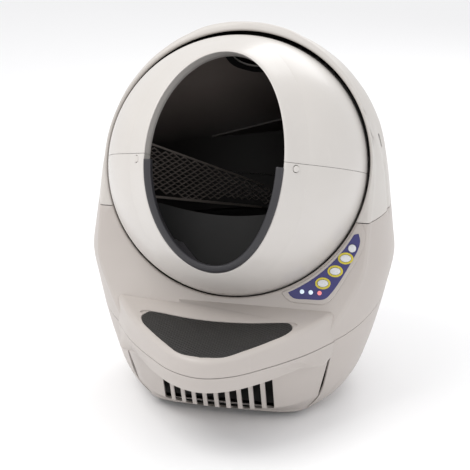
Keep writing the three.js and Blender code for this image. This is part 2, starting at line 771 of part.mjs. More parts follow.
function add(name, shape, colour, roughness = 0.5, metalness = 0) {
  const raw = shape.getMesh();
  const geometry = new THREE.BufferGeometry();
  const stride = raw.numProp;
  const positions = new Float32Array(raw.vertProperties.length / stride * 3);
  for (let i = 0; i < positions.length / 3; i++) {
    positions.set(raw.vertProperties.subarray(i * stride, i * stride + 3), i * 3);
  }
  geometry.setAttribute('position', new THREE.BufferAttribute(positions, 3));
  geometry.setIndex(new THREE.BufferAttribute(new Uint32Array(raw.triVerts), 1));
  geometry.computeVertexNormals();
  const material = new THREE.MeshStandardMaterial({ color: colour, roughness, metalness });
  const mesh = new THREE.Mesh(geometry, material);
  mesh.name = name;
  object.add(mesh);
}

add('base_upper_shell', baseUpper, colours.shell, 0.45);
add('base_lower_shell', baseLower, colours.shell, 0.5);
add('step_mat', matBody(0, -3, 1.2), colours.black, 0.85);
add('control_bezel', onFace(prism(bezelOutline, GAP, 3).subtract(keyHoles(0.35, -12, 12))), colours.shell);
add('control_overlay', onFace(prism(overlayOutline, 3 + GAP, 4).subtract(keyHoles(0.35, -12, 12))),
  colours.navy, 0.35);
for (const key of KEYS) {
  const ring = prism(oval(15, 11.5, key.x, key.y, key.turn), 4 + GAP, 5)
    .subtract(prism(oval(key.w + 0.35, key.h + 0.35, key.x, key.y, key.turn), 0, 12));
  add(`${key.name}_button_ring`, onFace(ring), colours.yellow, 0.4);
  add(`${key.name}_button`, onFace(prism(oval(key.w, key.h, key.x, key.y, key.turn), -6, 6)),
    colours.white, 0.4);
}
add('power_button', onFace(prism(oval(POWER.w, POWER.h, POWER.x, POWER.y, 0), -6, 5.5)), colours.white, 0.4);
for (const light of LIGHTS) {
  add(light.name, onFace(rod(4.5, light.x, light.y, -2, 4.6, 16)), light.colour, 0.2);
}
const board = prism([[150, 20], [196, 22], [246, 112], [226, 128], [196, 90], [150, 44]]
  .map(([x, y]) => [x * stretchX, y]), -11.5, -9.9);
add('circuit_board', onFace(board).subtract(bowlClear).intersect(outerBody(WALL + 1)), colours.green, 0.6);
add('waste_chute', chute, colours.black, 0.6);
const motor = rod(26, pinionX, pinionY, GEAR_BACK - 86, GEAR_BACK - 16);
add('drive_motor', inGlobe(motor), colours.steel, 0.4, 0.7);
const bracketPlate = box(pinionX - 34, pinionX + 34, pinionY - 34, pinionY + 34,
  GEAR_BACK - 15.7, GEAR_BACK - 12.7)
  .subtract(rod(8, pinionX, pinionY, -200, 0));
add('motor_bracket', inGlobe(bracketPlate).subtract(bowlClear), colours.steel, 0.5, 0.7);
const pinion = toothed(PINION_TEETH, PINION_PITCH_R - 4.2, PINION_PITCH_R + 2.6, ...pinionAxial);
const meshTurn = PINION_ANGLE - Math.PI / 2;
const toothPhase = meshTurn / (2 * Math.PI / RING_TEETH);
const phase = (toothPhase - Math.round(toothPhase)) * 2 * Math.PI / PINION_TEETH;
const pinionTurn = THREE.MathUtils.radToDeg(meshTurn + Math.PI + phase) + 180 / PINION_TEETH;
add('drive_gear', inGlobe(pinion.rotate([0, 0, pinionTurn]).translate([pinionX, pinionY, 0])
  .add(rod(6, pinionX, pinionY, GEAR_BACK - 15.7, GEAR_BACK))), colours.black, 0.5);
['left', 'right'].forEach((side, i) => {
  const [x, y] = rollerSpots[i];
  const roller = rod(ROLLER_R, x, y, rollerMid - 5, rollerMid + 5).subtract(rod(3.3, x, y, -200, 200, 12));
  add(`roller_${side}`, inGlobe(roller), colours.rubber, 0.7);
  const axle = rod(3, x, y, rollerMid - 11, rollerMid + 11, 12);
  add(`roller_axle_${side}`, inGlobe(axle), colours.steel, 0.3, 0.9);
  const half = ROLLER_R + 7;
  const housing = box(x - half, x + half, y - half - 3, y + 8, rollerMid - 10, rollerMid + 10)
    .subtract(rod(ROLLER_R + 2, x, y, rollerMid - 6, rollerMid + 6))
    .subtract(box(x - ROLLER_R - 2, x + ROLLER_R + 2, y, y + 40, rollerMid - 6, rollerMid + 6))
    .subtract(rod(3.3, x, y, -200, 200, 12));
  add(`roller_bracket_${side}`, inGlobe(housing).subtract(bowlClear), colours.black, 0.6);
});
for (const foot of FEET) {
  add(foot.name, rod(14, foot.x, foot.y, 0, FLOOR_Z - GAP, 20), colours.shell, 0.7);
}
add('power_inlet', solid(new THREE.BoxGeometry(19, 26, 15)).translate([INLET.x, inletY, INLET.z]),
  colours.black, 0.5);
add('hinge_pin', hingePin, colours.steel, 0.3, 0.9);

add('drawer_front', drawerFront, colours.shell);
add('drawer_tray', drawerTray, colours.black, 0.7);
add('carbon_filter', carbonFilter, colours.rubber, 0.9);

add('bonnet_shell', bonnetShell, colours.shell, 0.45);
add('latch_left', latch(-1), colours.black, 0.6);
add('latch_right', latch(1), colours.black, 0.6);

add('globe_upper_shell', inGlobe(globeUpper), colours.globe, 0.35);
add('globe_lower_shell', inGlobe(globeLower), colours.globe, 0.35);
add('ring_gear', inGlobe(ringGear), colours.shell, 0.5);
add('entry_trim', inGlobe(entryTrim), colours.rubber, 0.75);
add('litter_liner', inGlobe(liner), colours.rubber, 0.8);
add('sifting_screen', inGlobe(siftingScreen), colours.black, 0.6);
add('septum', inGlobe(septum), colours.black, 0.6);
add('waste_port_seal', inGlobe(portSeal), colours.rubber, 0.8);
['left', 'right'].forEach((side, i) => {
  add(`screw_cap_${side}`, inGlobe(capSolid(capSpots[i], 6.7, GLOBE_R - 1.5, GLOBE_R + 4.8)), colours.globe);
});

export default object;
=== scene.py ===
"""Looks of an automatic rotating-globe litter box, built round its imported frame.

Every size is in millimetres until a mesh is made, and the front faces -Y.
"""

import logging  # noqa: E402
import math  # noqa: E402
from dataclasses import dataclass, field  # noqa: E402
from enum import Enum  # noqa: E402
from typing import Any, Callable, Iterable, Sequence  # noqa: E402

import bpy  # noqa: E402
import numpy as np  # noqa: E402
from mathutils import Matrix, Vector  # noqa: E402


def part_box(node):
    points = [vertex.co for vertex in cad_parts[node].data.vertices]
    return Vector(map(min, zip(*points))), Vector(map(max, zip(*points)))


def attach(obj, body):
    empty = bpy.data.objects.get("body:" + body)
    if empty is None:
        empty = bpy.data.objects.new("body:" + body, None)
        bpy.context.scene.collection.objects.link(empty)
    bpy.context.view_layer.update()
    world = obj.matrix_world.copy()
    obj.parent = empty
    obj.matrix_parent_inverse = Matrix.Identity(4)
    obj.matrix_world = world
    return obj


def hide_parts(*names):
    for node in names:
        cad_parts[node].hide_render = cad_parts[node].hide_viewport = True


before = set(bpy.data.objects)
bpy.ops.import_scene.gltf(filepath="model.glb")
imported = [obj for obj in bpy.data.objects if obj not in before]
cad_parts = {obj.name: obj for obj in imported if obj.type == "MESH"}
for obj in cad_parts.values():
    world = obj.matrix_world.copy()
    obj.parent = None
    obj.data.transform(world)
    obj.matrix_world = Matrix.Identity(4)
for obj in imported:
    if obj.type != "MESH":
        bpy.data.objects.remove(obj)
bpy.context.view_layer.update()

log = logging.getLogger("litter_box")

MM = 0.001
WIDTH = 616.0
DEPTH = 686.0
HEIGHT = 749.0
WALL = 4.5
SEAM_Z = 400.0
PART_Z = 178.0
LEDGE_Y = -DEPTH * 0.1895
LEDGE_Z = 240.0
LIP_Z = 145.0
FRONT_LEAN = math.atan(0.403)
SIDE_SEAM_RISE = 0.3
DRAWER_LEAN = 0.158
TILT = math.radians(20.4)
GLOBE_Z = LEDGE_Z + 237.862
GLOBE_R = WIDTH * 0.4172
ENTRY_HALF_W = GLOBE_R * 0.503
ENTRY_HALF_H = GLOBE_R * 0.797
ENTRY_DROP = 4.6
PORT_R = 50.0
SHELL_WALL = WALL - 1.2
BONNET_GAP = 0.7
FRONT_GAP = 0.6
DRAWER_GAP = 0.9
Triple = tuple[float, float, float]
Pairs = Sequence[tuple[float, float]]


class Side(Enum):
    """Which hand of the box a piece is on, seen from the front."""

    LEFT = -1
    RIGHT = 1


@dataclass(frozen=True)
class Axes:
    """A frame tipped back about X, with its own across, up and outward directions.

    Args:
        lean: angle by which the outward direction rises above -Y, in radians.
        origin: the frame's origin in millimetres.
    """

    lean: float
    origin: Triple

    @property
    def up(self) -> np.ndarray:
        """The direction up the tipped plane."""
        return np.array([0.0, math.sin(self.lean), math.cos(self.lean)])

    @property
    def out(self) -> np.ndarray:
        """The direction out of the tipped plane, toward the front."""
        return np.array([0.0, -math.cos(self.lean), math.sin(self.lean)])

    def place(self, x: Any, v: Any, n: Any) -> np.ndarray:
        """Places across, up and outward amounts in the object's own frame.

        Args:
            x: distance across.
            v: distance up the plane.
            n: distance out of the plane.

        Returns:
            One point, or an array of points in its last axis.
        """
        x, v, n = np.broadcast_arrays(x, v, n)
        across = np.array([1.0, 0.0, 0.0])
        return (np.array(self.origin) + x[..., None] * across
                + v[..., None] * self.up + n[..., None] * self.out)


GLOBE = Axes(TILT, (0.0, 0.0, GLOBE_Z))
FACE = Axes(FRONT_LEAN, (0.0, LEDGE_Y, LEDGE_Z))
SEAM_NORMAL = np.array([0.0, -SIDE_SEAM_RISE, 1.0]) / math.hypot(1.0, SIDE_SEAM_RISE)
DRAWER_NORMAL = np.array([0.0, -1.0, -DRAWER_LEAN]) / math.hypot(1.0, DRAWER_LEAN)
KINK = np.array([0.0, LEDGE_Y, PART_Z])


def turns(count: int) -> np.ndarray:
    """Gives angles spaced evenly round a full turn."""
    return np.linspace(0, 2 * math.pi, count, endpoint=False)


def gap_of(knots: np.ndarray, at: np.ndarray) -> np.ndarray:
    """Finds the number of the gap between knots that each place falls in."""
    return np.clip(np.searchsorted(knots, at, side="right") - 1, 0, len(knots) - 2)


def cubic(first: Any, last: Any, leaving: Any, arriving: Any, gap: Any, u: Any) -> np.ndarray:
    """Reads a smooth curve between two values from its slopes at both.

    Args:
        first: the value at the start.
        last: the value at the end.
        leaving: the slope at the start.
        arriving: the slope at the end.
        gap: the distance between the two.
        u: place between them, from 0 to 1.

    Returns:
        The curve's value at each place.
    """
    return ((2 * u**3 - 3 * u**2 + 1) * first + (u**3 - 2 * u**2 + u) * gap * leaving
            + (3 * u**2 - 2 * u**3) * last + (u**3 - u**2) * gap * arriving)


def grown(points: np.ndarray, middle: np.ndarray, grow: float) -> np.ndarray:
    """Moves plan points away from a middle point, or toward it where grow is negative.

    Args:
        points: points in plan.
        middle: the point that they move away from.
        grow: how far they move.

    Returns:
        The moved points.
    """
    away = points - middle
    length = np.linalg.norm(away, axis=1, keepdims=True)
    return middle + away * (length + grow) / length


def spline(points: Sequence[Sequence[float]], t: np.ndarray) -> np.ndarray:
    """Reads a smooth curve through points, spaced by their distance apart.

    Args:
        points: the points that the curve goes through.
        t: places along it, from 0 to 1.

    Returns:
        One point for each place.
    """
    p = np.array(points, float)
    gaps = np.sqrt(np.linalg.norm(np.diff(p, axis=0), axis=1))
    knots = np.concatenate([[0.0], np.cumsum(gaps)])
    slopes = np.gradient(p, knots, axis=0)
    s = np.clip(t, 0, 1) * knots[-1]
    i = gap_of(knots, s)
    h = (knots[i + 1] - knots[i])[..., None]
    u = ((s - knots[i]) / (knots[i + 1] - knots[i]))[..., None]
    return cubic(p[i], p[i + 1], slopes[i], slopes[i + 1], h, u)


# ------------------------------------------------------------------ the bench


class Bench:
    """The modelling operators, each working on one object at a time."""

    @staticmethod
    def only(*objects: bpy.types.Object) -> None:
        """Selects these objects and makes the first one active.

        Args:
            objects: the objects, with the active one first.
        """
        bpy.ops.object.select_all(action="DESELECT")
        for thing in objects:
            thing.select_set(True)
        bpy.context.view_layer.objects.active = objects[0]

    @staticmethod
    def call(thing: bpy.types.Object, name: str) -> bpy.types.Object:
        """Gives an object and its mesh the same name.

        Args:
            thing: the object.
            name: its new name.

        Returns:
            The same object.
        """
        thing.name = name
        thing.data.name = name
        return thing

    @classmethod
    def named(cls, name: str) -> bpy.types.Object:
        """Names the object just added."""
        return cls.call(bpy.context.active_object, name)

    @classmethod
    def skin(cls, name: str, across: int, along: int,
             form: Callable[[np.ndarray, np.ndarray], np.ndarray],
             outside: Triple | None = None) -> bpy.types.Object:
        """Shapes a grid into a curved skin and merges the edges that meet.

        Args:
            name: the new piece's name.
            across: faces along the first direction.
            along: faces along the second direction.
            form: gives points for places from 0 to 1 in both directions.
            outside: a point in millimetres that the faces turn away from.

        Returns:
            The new object.
        """
        bpy.ops.object.select_all(action="DESELECT")
        bpy.ops.mesh.primitive_grid_add(x_subdivisions=across, y_subdivisions=along, size=2.0)
        thing = cls.named(name)
        flat = np.empty(len(thing.data.vertices) * 3)
        thing.data.vertices.foreach_get("co", flat)
        uv = (flat.reshape(-1, 3)[:, :2] + 1.0) / 2.0
        shaped = form(uv[:, 0], uv[:, 1]) * MM
        thing.data.vertices.foreach_set("co", shaped.ravel())
        thing.data.update()
        cls.edit(thing, lambda: bpy.ops.mesh.remove_doubles(threshold=0.00005))
        if outside is not None:
            cls.face_away(thing, outside)
        return thing

    @classmethod
    def edit(cls, thing: bpy.types.Object, *steps: Callable[[], Any]) -> None:
        """Runs edit-mode operators on the whole of a mesh.

        Args:
            thing: the object.
            steps: the operators to run, in order.
        """
        cls.only(thing)
        bpy.ops.object.mode_set(mode="EDIT")
        bpy.ops.mesh.select_mode(type="VERT")
        bpy.ops.mesh.select_all(action="SELECT")
        for step in steps:
            step()
        bpy.ops.object.mode_set(mode="OBJECT")

    @classmethod
    def face_away(cls, thing: bpy.types.Object, point: Triple) -> None:
        """Turns all faces so that most of them look away from a point.

        Args:
            thing: the object.
            point: the point, in millimetres.
        """
        centre = Vector(point) * MM
        total = sum((f.center - centre).normalized().dot(f.normal) * f.area
                    for f in thing.data.polygons)
        if total < 0:
            cls.edit(thing, bpy.ops.mesh.flip_normals)

    @classmethod
    def close_out(cls, thing: bpy.types.Object) -> None:
        """Makes a closed mesh's faces look outward."""
        cls.edit(thing, lambda: bpy.ops.mesh.normals_make_consistent(inside=False))

    @classmethod
    def cap_ends(cls, thing: bpy.types.Object, fill: Callable[[], Any]) -> None:
        """Closes a skin's open edges and turns its faces outward.

        Args:
            thing: the open skin.
            fill: the operator that closes the selected edges.
        """
        cls.edit(thing, lambda: bpy.ops.mesh.select_all(action="DESELECT"),
                 lambda: bpy.ops.mesh.select_non_manifold(), fill)
        cls.close_out(thing)

    @classmethod
    def cut(cls, thing: bpy.types.Object, point: Sequence[float], normal: Sequence[float],
            fill: bool = False) -> None:
        """Cuts away what lies on the side that the normal points to.

        Args:
            thing: the object.
            point: a point of the plane, in millimetres.
            normal: the direction that is cut away.
            fill: whether the cut is closed.
        """
        cls.edit(thing, lambda: bpy.ops.mesh.bisect(
            plane_co=tuple(float(c) * MM for c in point), plane_no=tuple(map(float, normal)),
            use_fill=fill, clear_outer=True, threshold=0.000001))

    @classmethod
    def modify(cls, thing: bpy.types.Object, kind: str, **settings: Any) -> None:
        """Adds one modifier with these settings and applies it.

        Args:
            thing: the object.
            kind: the modifier's type.
            settings: the modifier's own settings.
        """
        cls.only(thing)
        modifier = thing.modifiers.new(kind.title(), kind)
        for key, value in settings.items():
            setattr(modifier, key, value)
        bpy.ops.object.modifier_apply(modifier=modifier.name)

    @classmethod
    def thicken(cls, thing: bpy.types.Object, wall: float, inner: int = 0) -> None:
        """Gives a skin a wall that grows inward."""
        cls.modify(thing, "SOLIDIFY", thickness=wall * MM, offset=-1.0, use_even_offset=False,
                   material_offset=inner, material_offset_rim=0)

    @classmethod
    def soften(cls, thing: bpy.types.Object, width: float, segments: int = 2,
               angle: float = 40.0) -> None:
        """Rounds every edge sharper than an angle."""
        cls.modify(thing, "BEVEL", width=width * MM, segments=segments, limit_method="ANGLE",
                   angle_limit=math.radians(angle), harden_normals=False, miter_outer="MITER_ARC")

    @classmethod
    def carve(cls, thing: bpy.types.Object, cutter: bpy.types.Object) -> None:
        """Cuts one solid with another and throws the cutter away."""
        cls.modify(thing, "BOOLEAN", object=cutter, operation="DIFFERENCE", solver="EXACT")
        bpy.data.objects.remove(cutter, do_unlink=True)

    @classmethod
    def twin(cls, thing: bpy.types.Object, name: str) -> bpy.types.Object:
        """Copies an object with a mesh of its own.

        Args:
            thing: the object to copy.
            name: the copy's name.

        Returns:
            The copy.
        """
        copy = thing.copy()
        copy.data = thing.data.copy()
        bpy.context.collection.objects.link(copy)
        return cls.call(copy, name)

    @classmethod
    def join(cls, first: bpy.types.Object, *others: bpy.types.Object) -> bpy.types.Object:
        """Joins several meshes into the first one.

        Args:
            first: the object that is kept.
            others: the objects that become part of it.

        Returns:
            The first object.
        """
        cls.only(first, *others)
        bpy.ops.object.join()
        return first

    @classmethod
    def slab(cls, name: str, outline: np.ndarray, rise: Sequence[float], soft: float = 0.0,
             segments: int = 3) -> bpy.types.Object:
        """Extrudes a flat outline into a plate with softened edges.

        Args:
            name: the new piece's name.
            outline: points round the plate's underside, in millimetres.
            rise: the extrusion, in millimetres.
            soft: width of the rounding of its edges, in millimetres.
            segments: facets in that rounding.

        Returns:
            The new object.
        """
        bpy.ops.object.select_all(action="DESELECT")
        bpy.ops.mesh.primitive_circle_add(vertices=len(outline), fill_type="NGON")
        thing = cls.named(name)
        ring = sorted(thing.data.vertices, key=lambda v: math.atan2(v.co.x, v.co.y))
        for vertex, point in zip(ring, outline):
            vertex.co = Vector(point) * MM
        cls.edit(thing, lambda: bpy.ops.mesh.extrude_region_move(
            TRANSFORM_OT_translate={"value": tuple(float(c) * MM for c in rise)}))
        cls.close_out(thing)
        if soft:
            cls.soften(thing, soft, segments)
        return thing

    @classmethod
    def dress(cls, thing: bpy.types.Object, *materials: bpy.types.Material) -> None:
        """Gives an object its materials, in slot order.

        Args:
            thing: the object.
            materials: one material for each slot.
        """
        thing.data.materials.clear()
        for material in materials:
            thing.data.materials.append(material)

    @classmethod
    def hand_over(cls, thing: bpy.types.Object, body: str, slot: str,
                  stands_for: Iterable[str] = (), angle: float = 30.0) -> bpy.types.Object:
        """Smooths a finished piece and rides it on its body.

        Args:
            thing: the finished piece.
            body: the body that it moves with.
            slot: the record's material slot; not used.
            stands_for: the CAD nodes that it is shown in place of.
            angle: edges sharper than this stay crisp.

        Returns:
            The same object.
        """
        cls.only(thing)
        bpy.ops.object.shade_smooth_by_angle(angle=math.radians(angle))
        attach(thing, body)
        if stands_for:
            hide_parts(*stands_for)
        log.info("%s: %d faces", thing.name, len(thing.data.polygons))
        return thing


# ------------------------------------------------------------------ finishes


class Signal:
    """A number socket that adds Math nodes when it is used in an expression."""

    def __init__(self, recipe: "Recipe", socket: bpy.types.NodeSocket) -> None:
        """Keeps the socket and the recipe that it belongs to."""
        self.recipe = recipe
        self.socket = socket

    def __add__(self, other: Any) -> "Signal":
        """Adds."""
        return self.recipe.math("ADD", self, other)

    def __radd__(self, other: Any) -> "Signal":
        """Adds from the right."""
        return self.recipe.math("ADD", other, self)

    def __sub__(self, other: Any) -> "Signal":
        """Subtracts."""
        return self.recipe.math("SUBTRACT", self, other)

    def __rsub__(self, other: Any) -> "Signal":
        """Subtracts this from a number."""
        return self.recipe.math("SUBTRACT", other, self)

    def __mul__(self, other: Any) -> "Signal":
        """Multiplies."""
        return self.recipe.math("MULTIPLY", self, other)

    def __rmul__(self, other: Any) -> "Signal":
        """Multiplies from the right."""
        return self.recipe.math("MULTIPLY", other, self)

    def clamp(self, low: float, high: float) -> "Signal":
        """Maps low to 0 and high to 1, and stops there.

        Args:
            low: the value that becomes 0.
            high: the value that becomes 1.

        Returns:
            The mapped number.
        """
        made = self.recipe.node("ShaderNodeMapRange", {"clamp": True},
                                {"Value": self, "From Min": low, "From Max": high})
        return Signal(self.recipe, made.outputs["Result"])


class Recipe:
    """One material's node tree, written as it is used."""

    FIRST_COLOUR = 6
    SECOND_COLOUR = 7
    MIXED_COLOUR = 2

    def __init__(self, name: str) -> None:
        """Starts an empty material with one plain shader.

        Args:
            name: the material's name.
        """
        self.material = bpy.data.materials.new(name)
        self.material.use_nodes = True
        self.tree = self.material.node_tree
        self.tree.nodes.clear()
        self.output = self.tree.nodes.new("ShaderNodeOutputMaterial")
        self.shader = self.tree.nodes.new("ShaderNodeBsdfPrincipled")
        self.tree.links.new(self.shader.outputs["BSDF"], self.output.inputs["Surface"])
        self.place = self.node("ShaderNodeTexCoord").outputs["Object"]

    def feed(self, socket: bpy.types.NodeSocket, value: Any) -> None:
        """Sets a socket to a value, or links it.

        Args:
            socket: the socket to fill.
            value: a plain value, a socket or a Signal.
        """
        if isinstance(value, Signal):
            value = value.socket
        if isinstance(value, bpy.types.NodeSocket):
            self.tree.links.new(value, socket)
        else:
            socket.default_value = value

    def node(self, kind: str, settings: dict[str, Any] | None = None,
             sockets: dict[str | int, Any] | None = None) -> bpy.types.Node:
        """Adds a node.

        Args:
            kind: the node's type.
            settings: its own settings, made first.
            sockets: values or links for its inputs, by name or number.

        Returns:
            The node.
        """
        made = self.tree.nodes.new(kind)
        for key, value in (settings or {}).items():
            if key == "stops":
                for stop, (at, colour) in zip(made.color_ramp.elements, value):
                    stop.position = at
                    stop.color = (*colour, 1.0)
            else:
                setattr(made, key, value)
        for key, value in (sockets or {}).items():
            self.feed(made.inputs[key], value)
        return made

    def math(self, operation: str, first: Any, second: Any) -> Signal:
        """Adds one Math node."""
        made = self.node("ShaderNodeMath", {"operation": operation}, {0: first, 1: second})
        return Signal(self, made.outputs[0])

    def noise(self, scale: float, detail: float = 2.0, stretch: Triple = (1, 1, 1)) -> Signal:
        """Reads smooth noise over the object, with its size set by scale.

        Args:
            scale: how fine the noise is.
            detail: its layers of finer noise.
            stretch: factors on its three directions.

        Returns:
            The noise, from 0 to 1.
        """
        where = self.place
        if stretch != (1, 1, 1):
            where = self.node("ShaderNodeMapping", None,
                              {"Vector": self.place, "Scale": stretch}).outputs["Vector"]
        made = self.node("ShaderNodeTexNoise", None,
                         {"Vector": where, "Scale": scale, "Detail": detail})
        return Signal(self, made.outputs["Fac"])

    def along(self, axis: str) -> Signal:
        """Reads the place along X, Y or Z, in metres."""
        made = self.node("ShaderNodeSeparateXYZ", None, {"Vector": self.place})
        return Signal(self, made.outputs[axis])

    def mix(self, factor: Any, first: Any, second: Any) -> bpy.types.NodeSocket:
        """Mixes two colours.

        Args:
            factor: the share of the second colour.
            first: the first colour.
            second: the second colour.

        Returns:
            The mixed colour's socket.
        """
        sockets = {0: factor, self.FIRST_COLOUR: first, self.SECOND_COLOUR: second}
        made = self.node("ShaderNodeMix", {"data_type": "RGBA"}, sockets)
        return made.outputs[self.MIXED_COLOUR]

    def bump(self, height: Signal, strength: float, distance: float,
             under: bpy.types.NodeSocket | None = None) -> bpy.types.NodeSocket:
        """Turns a height into a normal, over another one if it is given.

        Args:
            height: the height to read.
            strength: how strongly it shows.
            distance: how deep it looks, in metres.
            under: the normal beneath it.

        Returns:
            The new normal's socket.
        """
        sockets: dict[str | int, Any] = {"Height": height, "Strength": strength,
                                         "Distance": distance}
        if under is not None:
            sockets["Normal"] = under
        return self.node("ShaderNodeBump", None, sockets).outputs["Normal"]

    def done(self, **inputs: Any) -> bpy.types.Material:
        """Feeds the shader's sockets and returns the material.

        Args:
            inputs: values or links by input name, with _ for a space.

        Returns:
            The material.
        """
        for key, value in inputs.items():
            self.feed(self.shader.inputs[key.replace("_", " ")], value)
        return self.material


def tint(colour: Triple) -> tuple[float, float, float, float]:
    """Adds full opacity to a colour."""
    return (*colour, 1.0)


@dataclass(frozen=True)
class Plastic:
    """Moulded plastic with a satin grain, faint flow marks, scuffs and dust low down.

    Args:
        name: the material's name.
        colour: its main colour.
        shade: the colour it drifts toward.
        rough: its roughness.
        grain: strength of the moulded grain.
        dust: how much dust gathers near the floor.
        coat: clear gloss over it.
    """

    name: str
    colour: Triple
    shade: Triple
    rough: float = 0.42
    grain: float = 0.12
    dust: float = 0.25
    coat: float = 0.0

    def make(self) -> bpy.types.Material:
        """Builds the material.

        Returns:
            The material.
        """
        r = Recipe(self.name)
        flow = r.noise(3.2, 3.0)
        streak = r.noise(9.0, 4.0, (1.0, 1.0, 5.0))
        scuff = r.noise(38.0, 5.0, (1.0, 1.0, 0.18)).clamp(0.64, 0.78)
        body = r.mix(flow.clamp(0.3, 0.7) * 0.7 + streak * 0.2, tint(self.colour), tint(self.shade))
        low = (1.0 - r.along("Z").clamp(0.0, 0.09)) * r.noise(21.0, 4.0).clamp(0.35, 0.75)
        dusty = r.mix(low * self.dust, body, tint(tuple(c * 0.62 for c in self.shade)))
        worn = r.mix(scuff * 0.10, dusty, tint(tuple(min(1.0, c * 1.2) for c in self.colour)))
        rough = self.rough + (r.noise(14.0, 3.0) - 0.5) * 0.12 + scuff * 0.1 + low * 0.15
        grain = r.bump(r.noise(620.0, 2.0), self.grain, 0.0004)
        waves = r.bump(r.noise(17.0, 2.0), 0.05, 0.002, grain)
        return r.done(Base_Color=worn, Roughness=rough, Normal=waves, Coat_Weight=self.coat,
                      Coat_Roughness=0.15)


@dataclass(frozen=True)
class Cabin:
    """The globe's dull inner wall, painted far darker than the globe's own plastic as painted shade
    for its dim inside, and darker still low down and to the right, away from the light (painted
    shade).

    Args:
        name: the material's name.
        colour: the wall's colour high up and to the left, itself a painted shade.
        dark: the painted shade colour, low down and to the right.
        rough: its roughness.
    """

    name: str
    colour: Triple
    dark: Triple
    rough: float = 0.6

    def make(self) -> bpy.types.Material:
        """Builds the material.

        Returns:
            The material.
        """
        r = Recipe(self.name)
        cloud = r.noise(9.0, 4.0) - 0.5
        # Painted shade: the wall turns to the dark colour low down and to the right, as if lit from
        # the upper left.
        high = (r.along("Z") + cloud * 0.03).clamp(0.47, 0.60)
        left = 1.0 - (r.along("X") + cloud * 0.04).clamp(-0.10, 0.10)
        painted_shade_mix = r.mix(high * left, tint(self.dark), tint(self.colour))
        normal = r.bump(r.noise(520.0, 2.0), 0.15, 0.0004)
        return r.done(Base_Color=painted_shade_mix, Roughness=self.rough + cloud * 0.15, Normal=normal)


@dataclass(frozen=True)
class Rubber:
    """Matt rubber with a dusty bloom and, where asked, moulded ribs.

    Args:
        name: the material's name.
        colour: its main colour.
        bloom: the paler colour of dust in it.
        rough: its roughness.
        ribs: ribs to the metre, or 0 for none.
        turn: the ribs' direction in the floor plane, in degrees.
    """

    name: str
    colour: Triple
    bloom: Triple
    rough: float = 0.7
    ribs: float = 0.0
    turn: float = 0.0

    def make(self) -> bpy.types.Material:
        """Builds the material.

        Returns:
            The material.
        """
        r = Recipe(self.name)
        cloud = r.noise(11.0, 4.0)
        speck = r.noise(160.0, 3.0).clamp(0.55, 0.72)
        colour = r.mix(cloud.clamp(0.35, 0.8) * 0.45 + speck * 0.12, tint(self.colour),
                       tint(self.bloom))
        normal = r.bump(r.noise(420.0, 3.0), 0.25, 0.0005)
        if self.ribs:
            turned = r.node("ShaderNodeMapping", None, {
                "Vector": r.place, "Rotation": (0.0, 0.0, math.radians(self.turn))})
            wave = r.node("ShaderNodeTexWave", {"wave_type": "BANDS", "bands_direction": "Y"}, {
                "Vector": turned.outputs["Vector"], "Scale": self.ribs / 20.0 * math.pi,
                "Distortion": 0.4})
            rib = Signal(r, wave.outputs["Fac"])
            colour = r.mix(rib * 0.6, colour, tint(tuple(c * 1.4 for c in self.bloom)))
            normal = r.bump(rib, 0.8, 0.0012, normal)
        rough = self.rough + (cloud - 0.5) * 0.2
        return r.done(Base_Color=colour, Roughness=rough, Normal=normal)


@dataclass(frozen=True)
class Metal:
    """Plain turned or pressed steel with fine brushing.

    Args:
        name: the material's name.
        colour: its colour.
        rough: its roughness.
    """

    name: str
    colour: Triple
    rough: float = 0.35

    def make(self) -> bpy.types.Material:
        """Builds the material.

        Returns:
            The material.
        """
        r = Recipe(self.name)
        brushed = r.noise(240.0, 3.0, (1.0, 8.0, 1.0))
        stain = r.noise(26.0, 4.0).clamp(0.5, 0.8)
        colour = r.mix(stain * 0.5, tint(self.colour), tint(tuple(c * 0.6 for c in self.colour)))
        return r.done(Base_Color=colour, Metallic=1.0, Roughness=self.rough + brushed * 0.15,
                      Normal=r.bump(brushed, 0.15, 0.0003))


@dataclass(frozen=True)
class Print:
    """A glossy printed film, as on a keypad, or a lit window in it.

    Args:
        name: the material's name.
        colour: the ink's colour.
        shade: the ink where it is thin.
        rough: its roughness.
        glow: strength of light that comes through it.
    """

    name: str
    colour: Triple
    shade: Triple
    rough: float = 0.28
    glow: float = 0.0

    def make(self) -> bpy.types.Material:
        """Builds the material.

        Returns:
            The material.
        """
        r = Recipe(self.name)
        ink = r.mix(r.noise(90.0, 3.0).clamp(0.3, 0.7) * 0.6, tint(self.colour), tint(self.shade))
        rough = self.rough + r.noise(45.0, 2.0) * 0.1
        normal = r.bump(r.noise(900.0, 2.0), 0.06, 0.0002)
        made = r.done(Base_Color=ink, Roughness=rough, Normal=normal, Coat_Weight=0.3,
                      Coat_Roughness=0.1)
        if self.glow:
            r.done(Emission_Color=ink, Emission_Strength=self.glow)
        return made


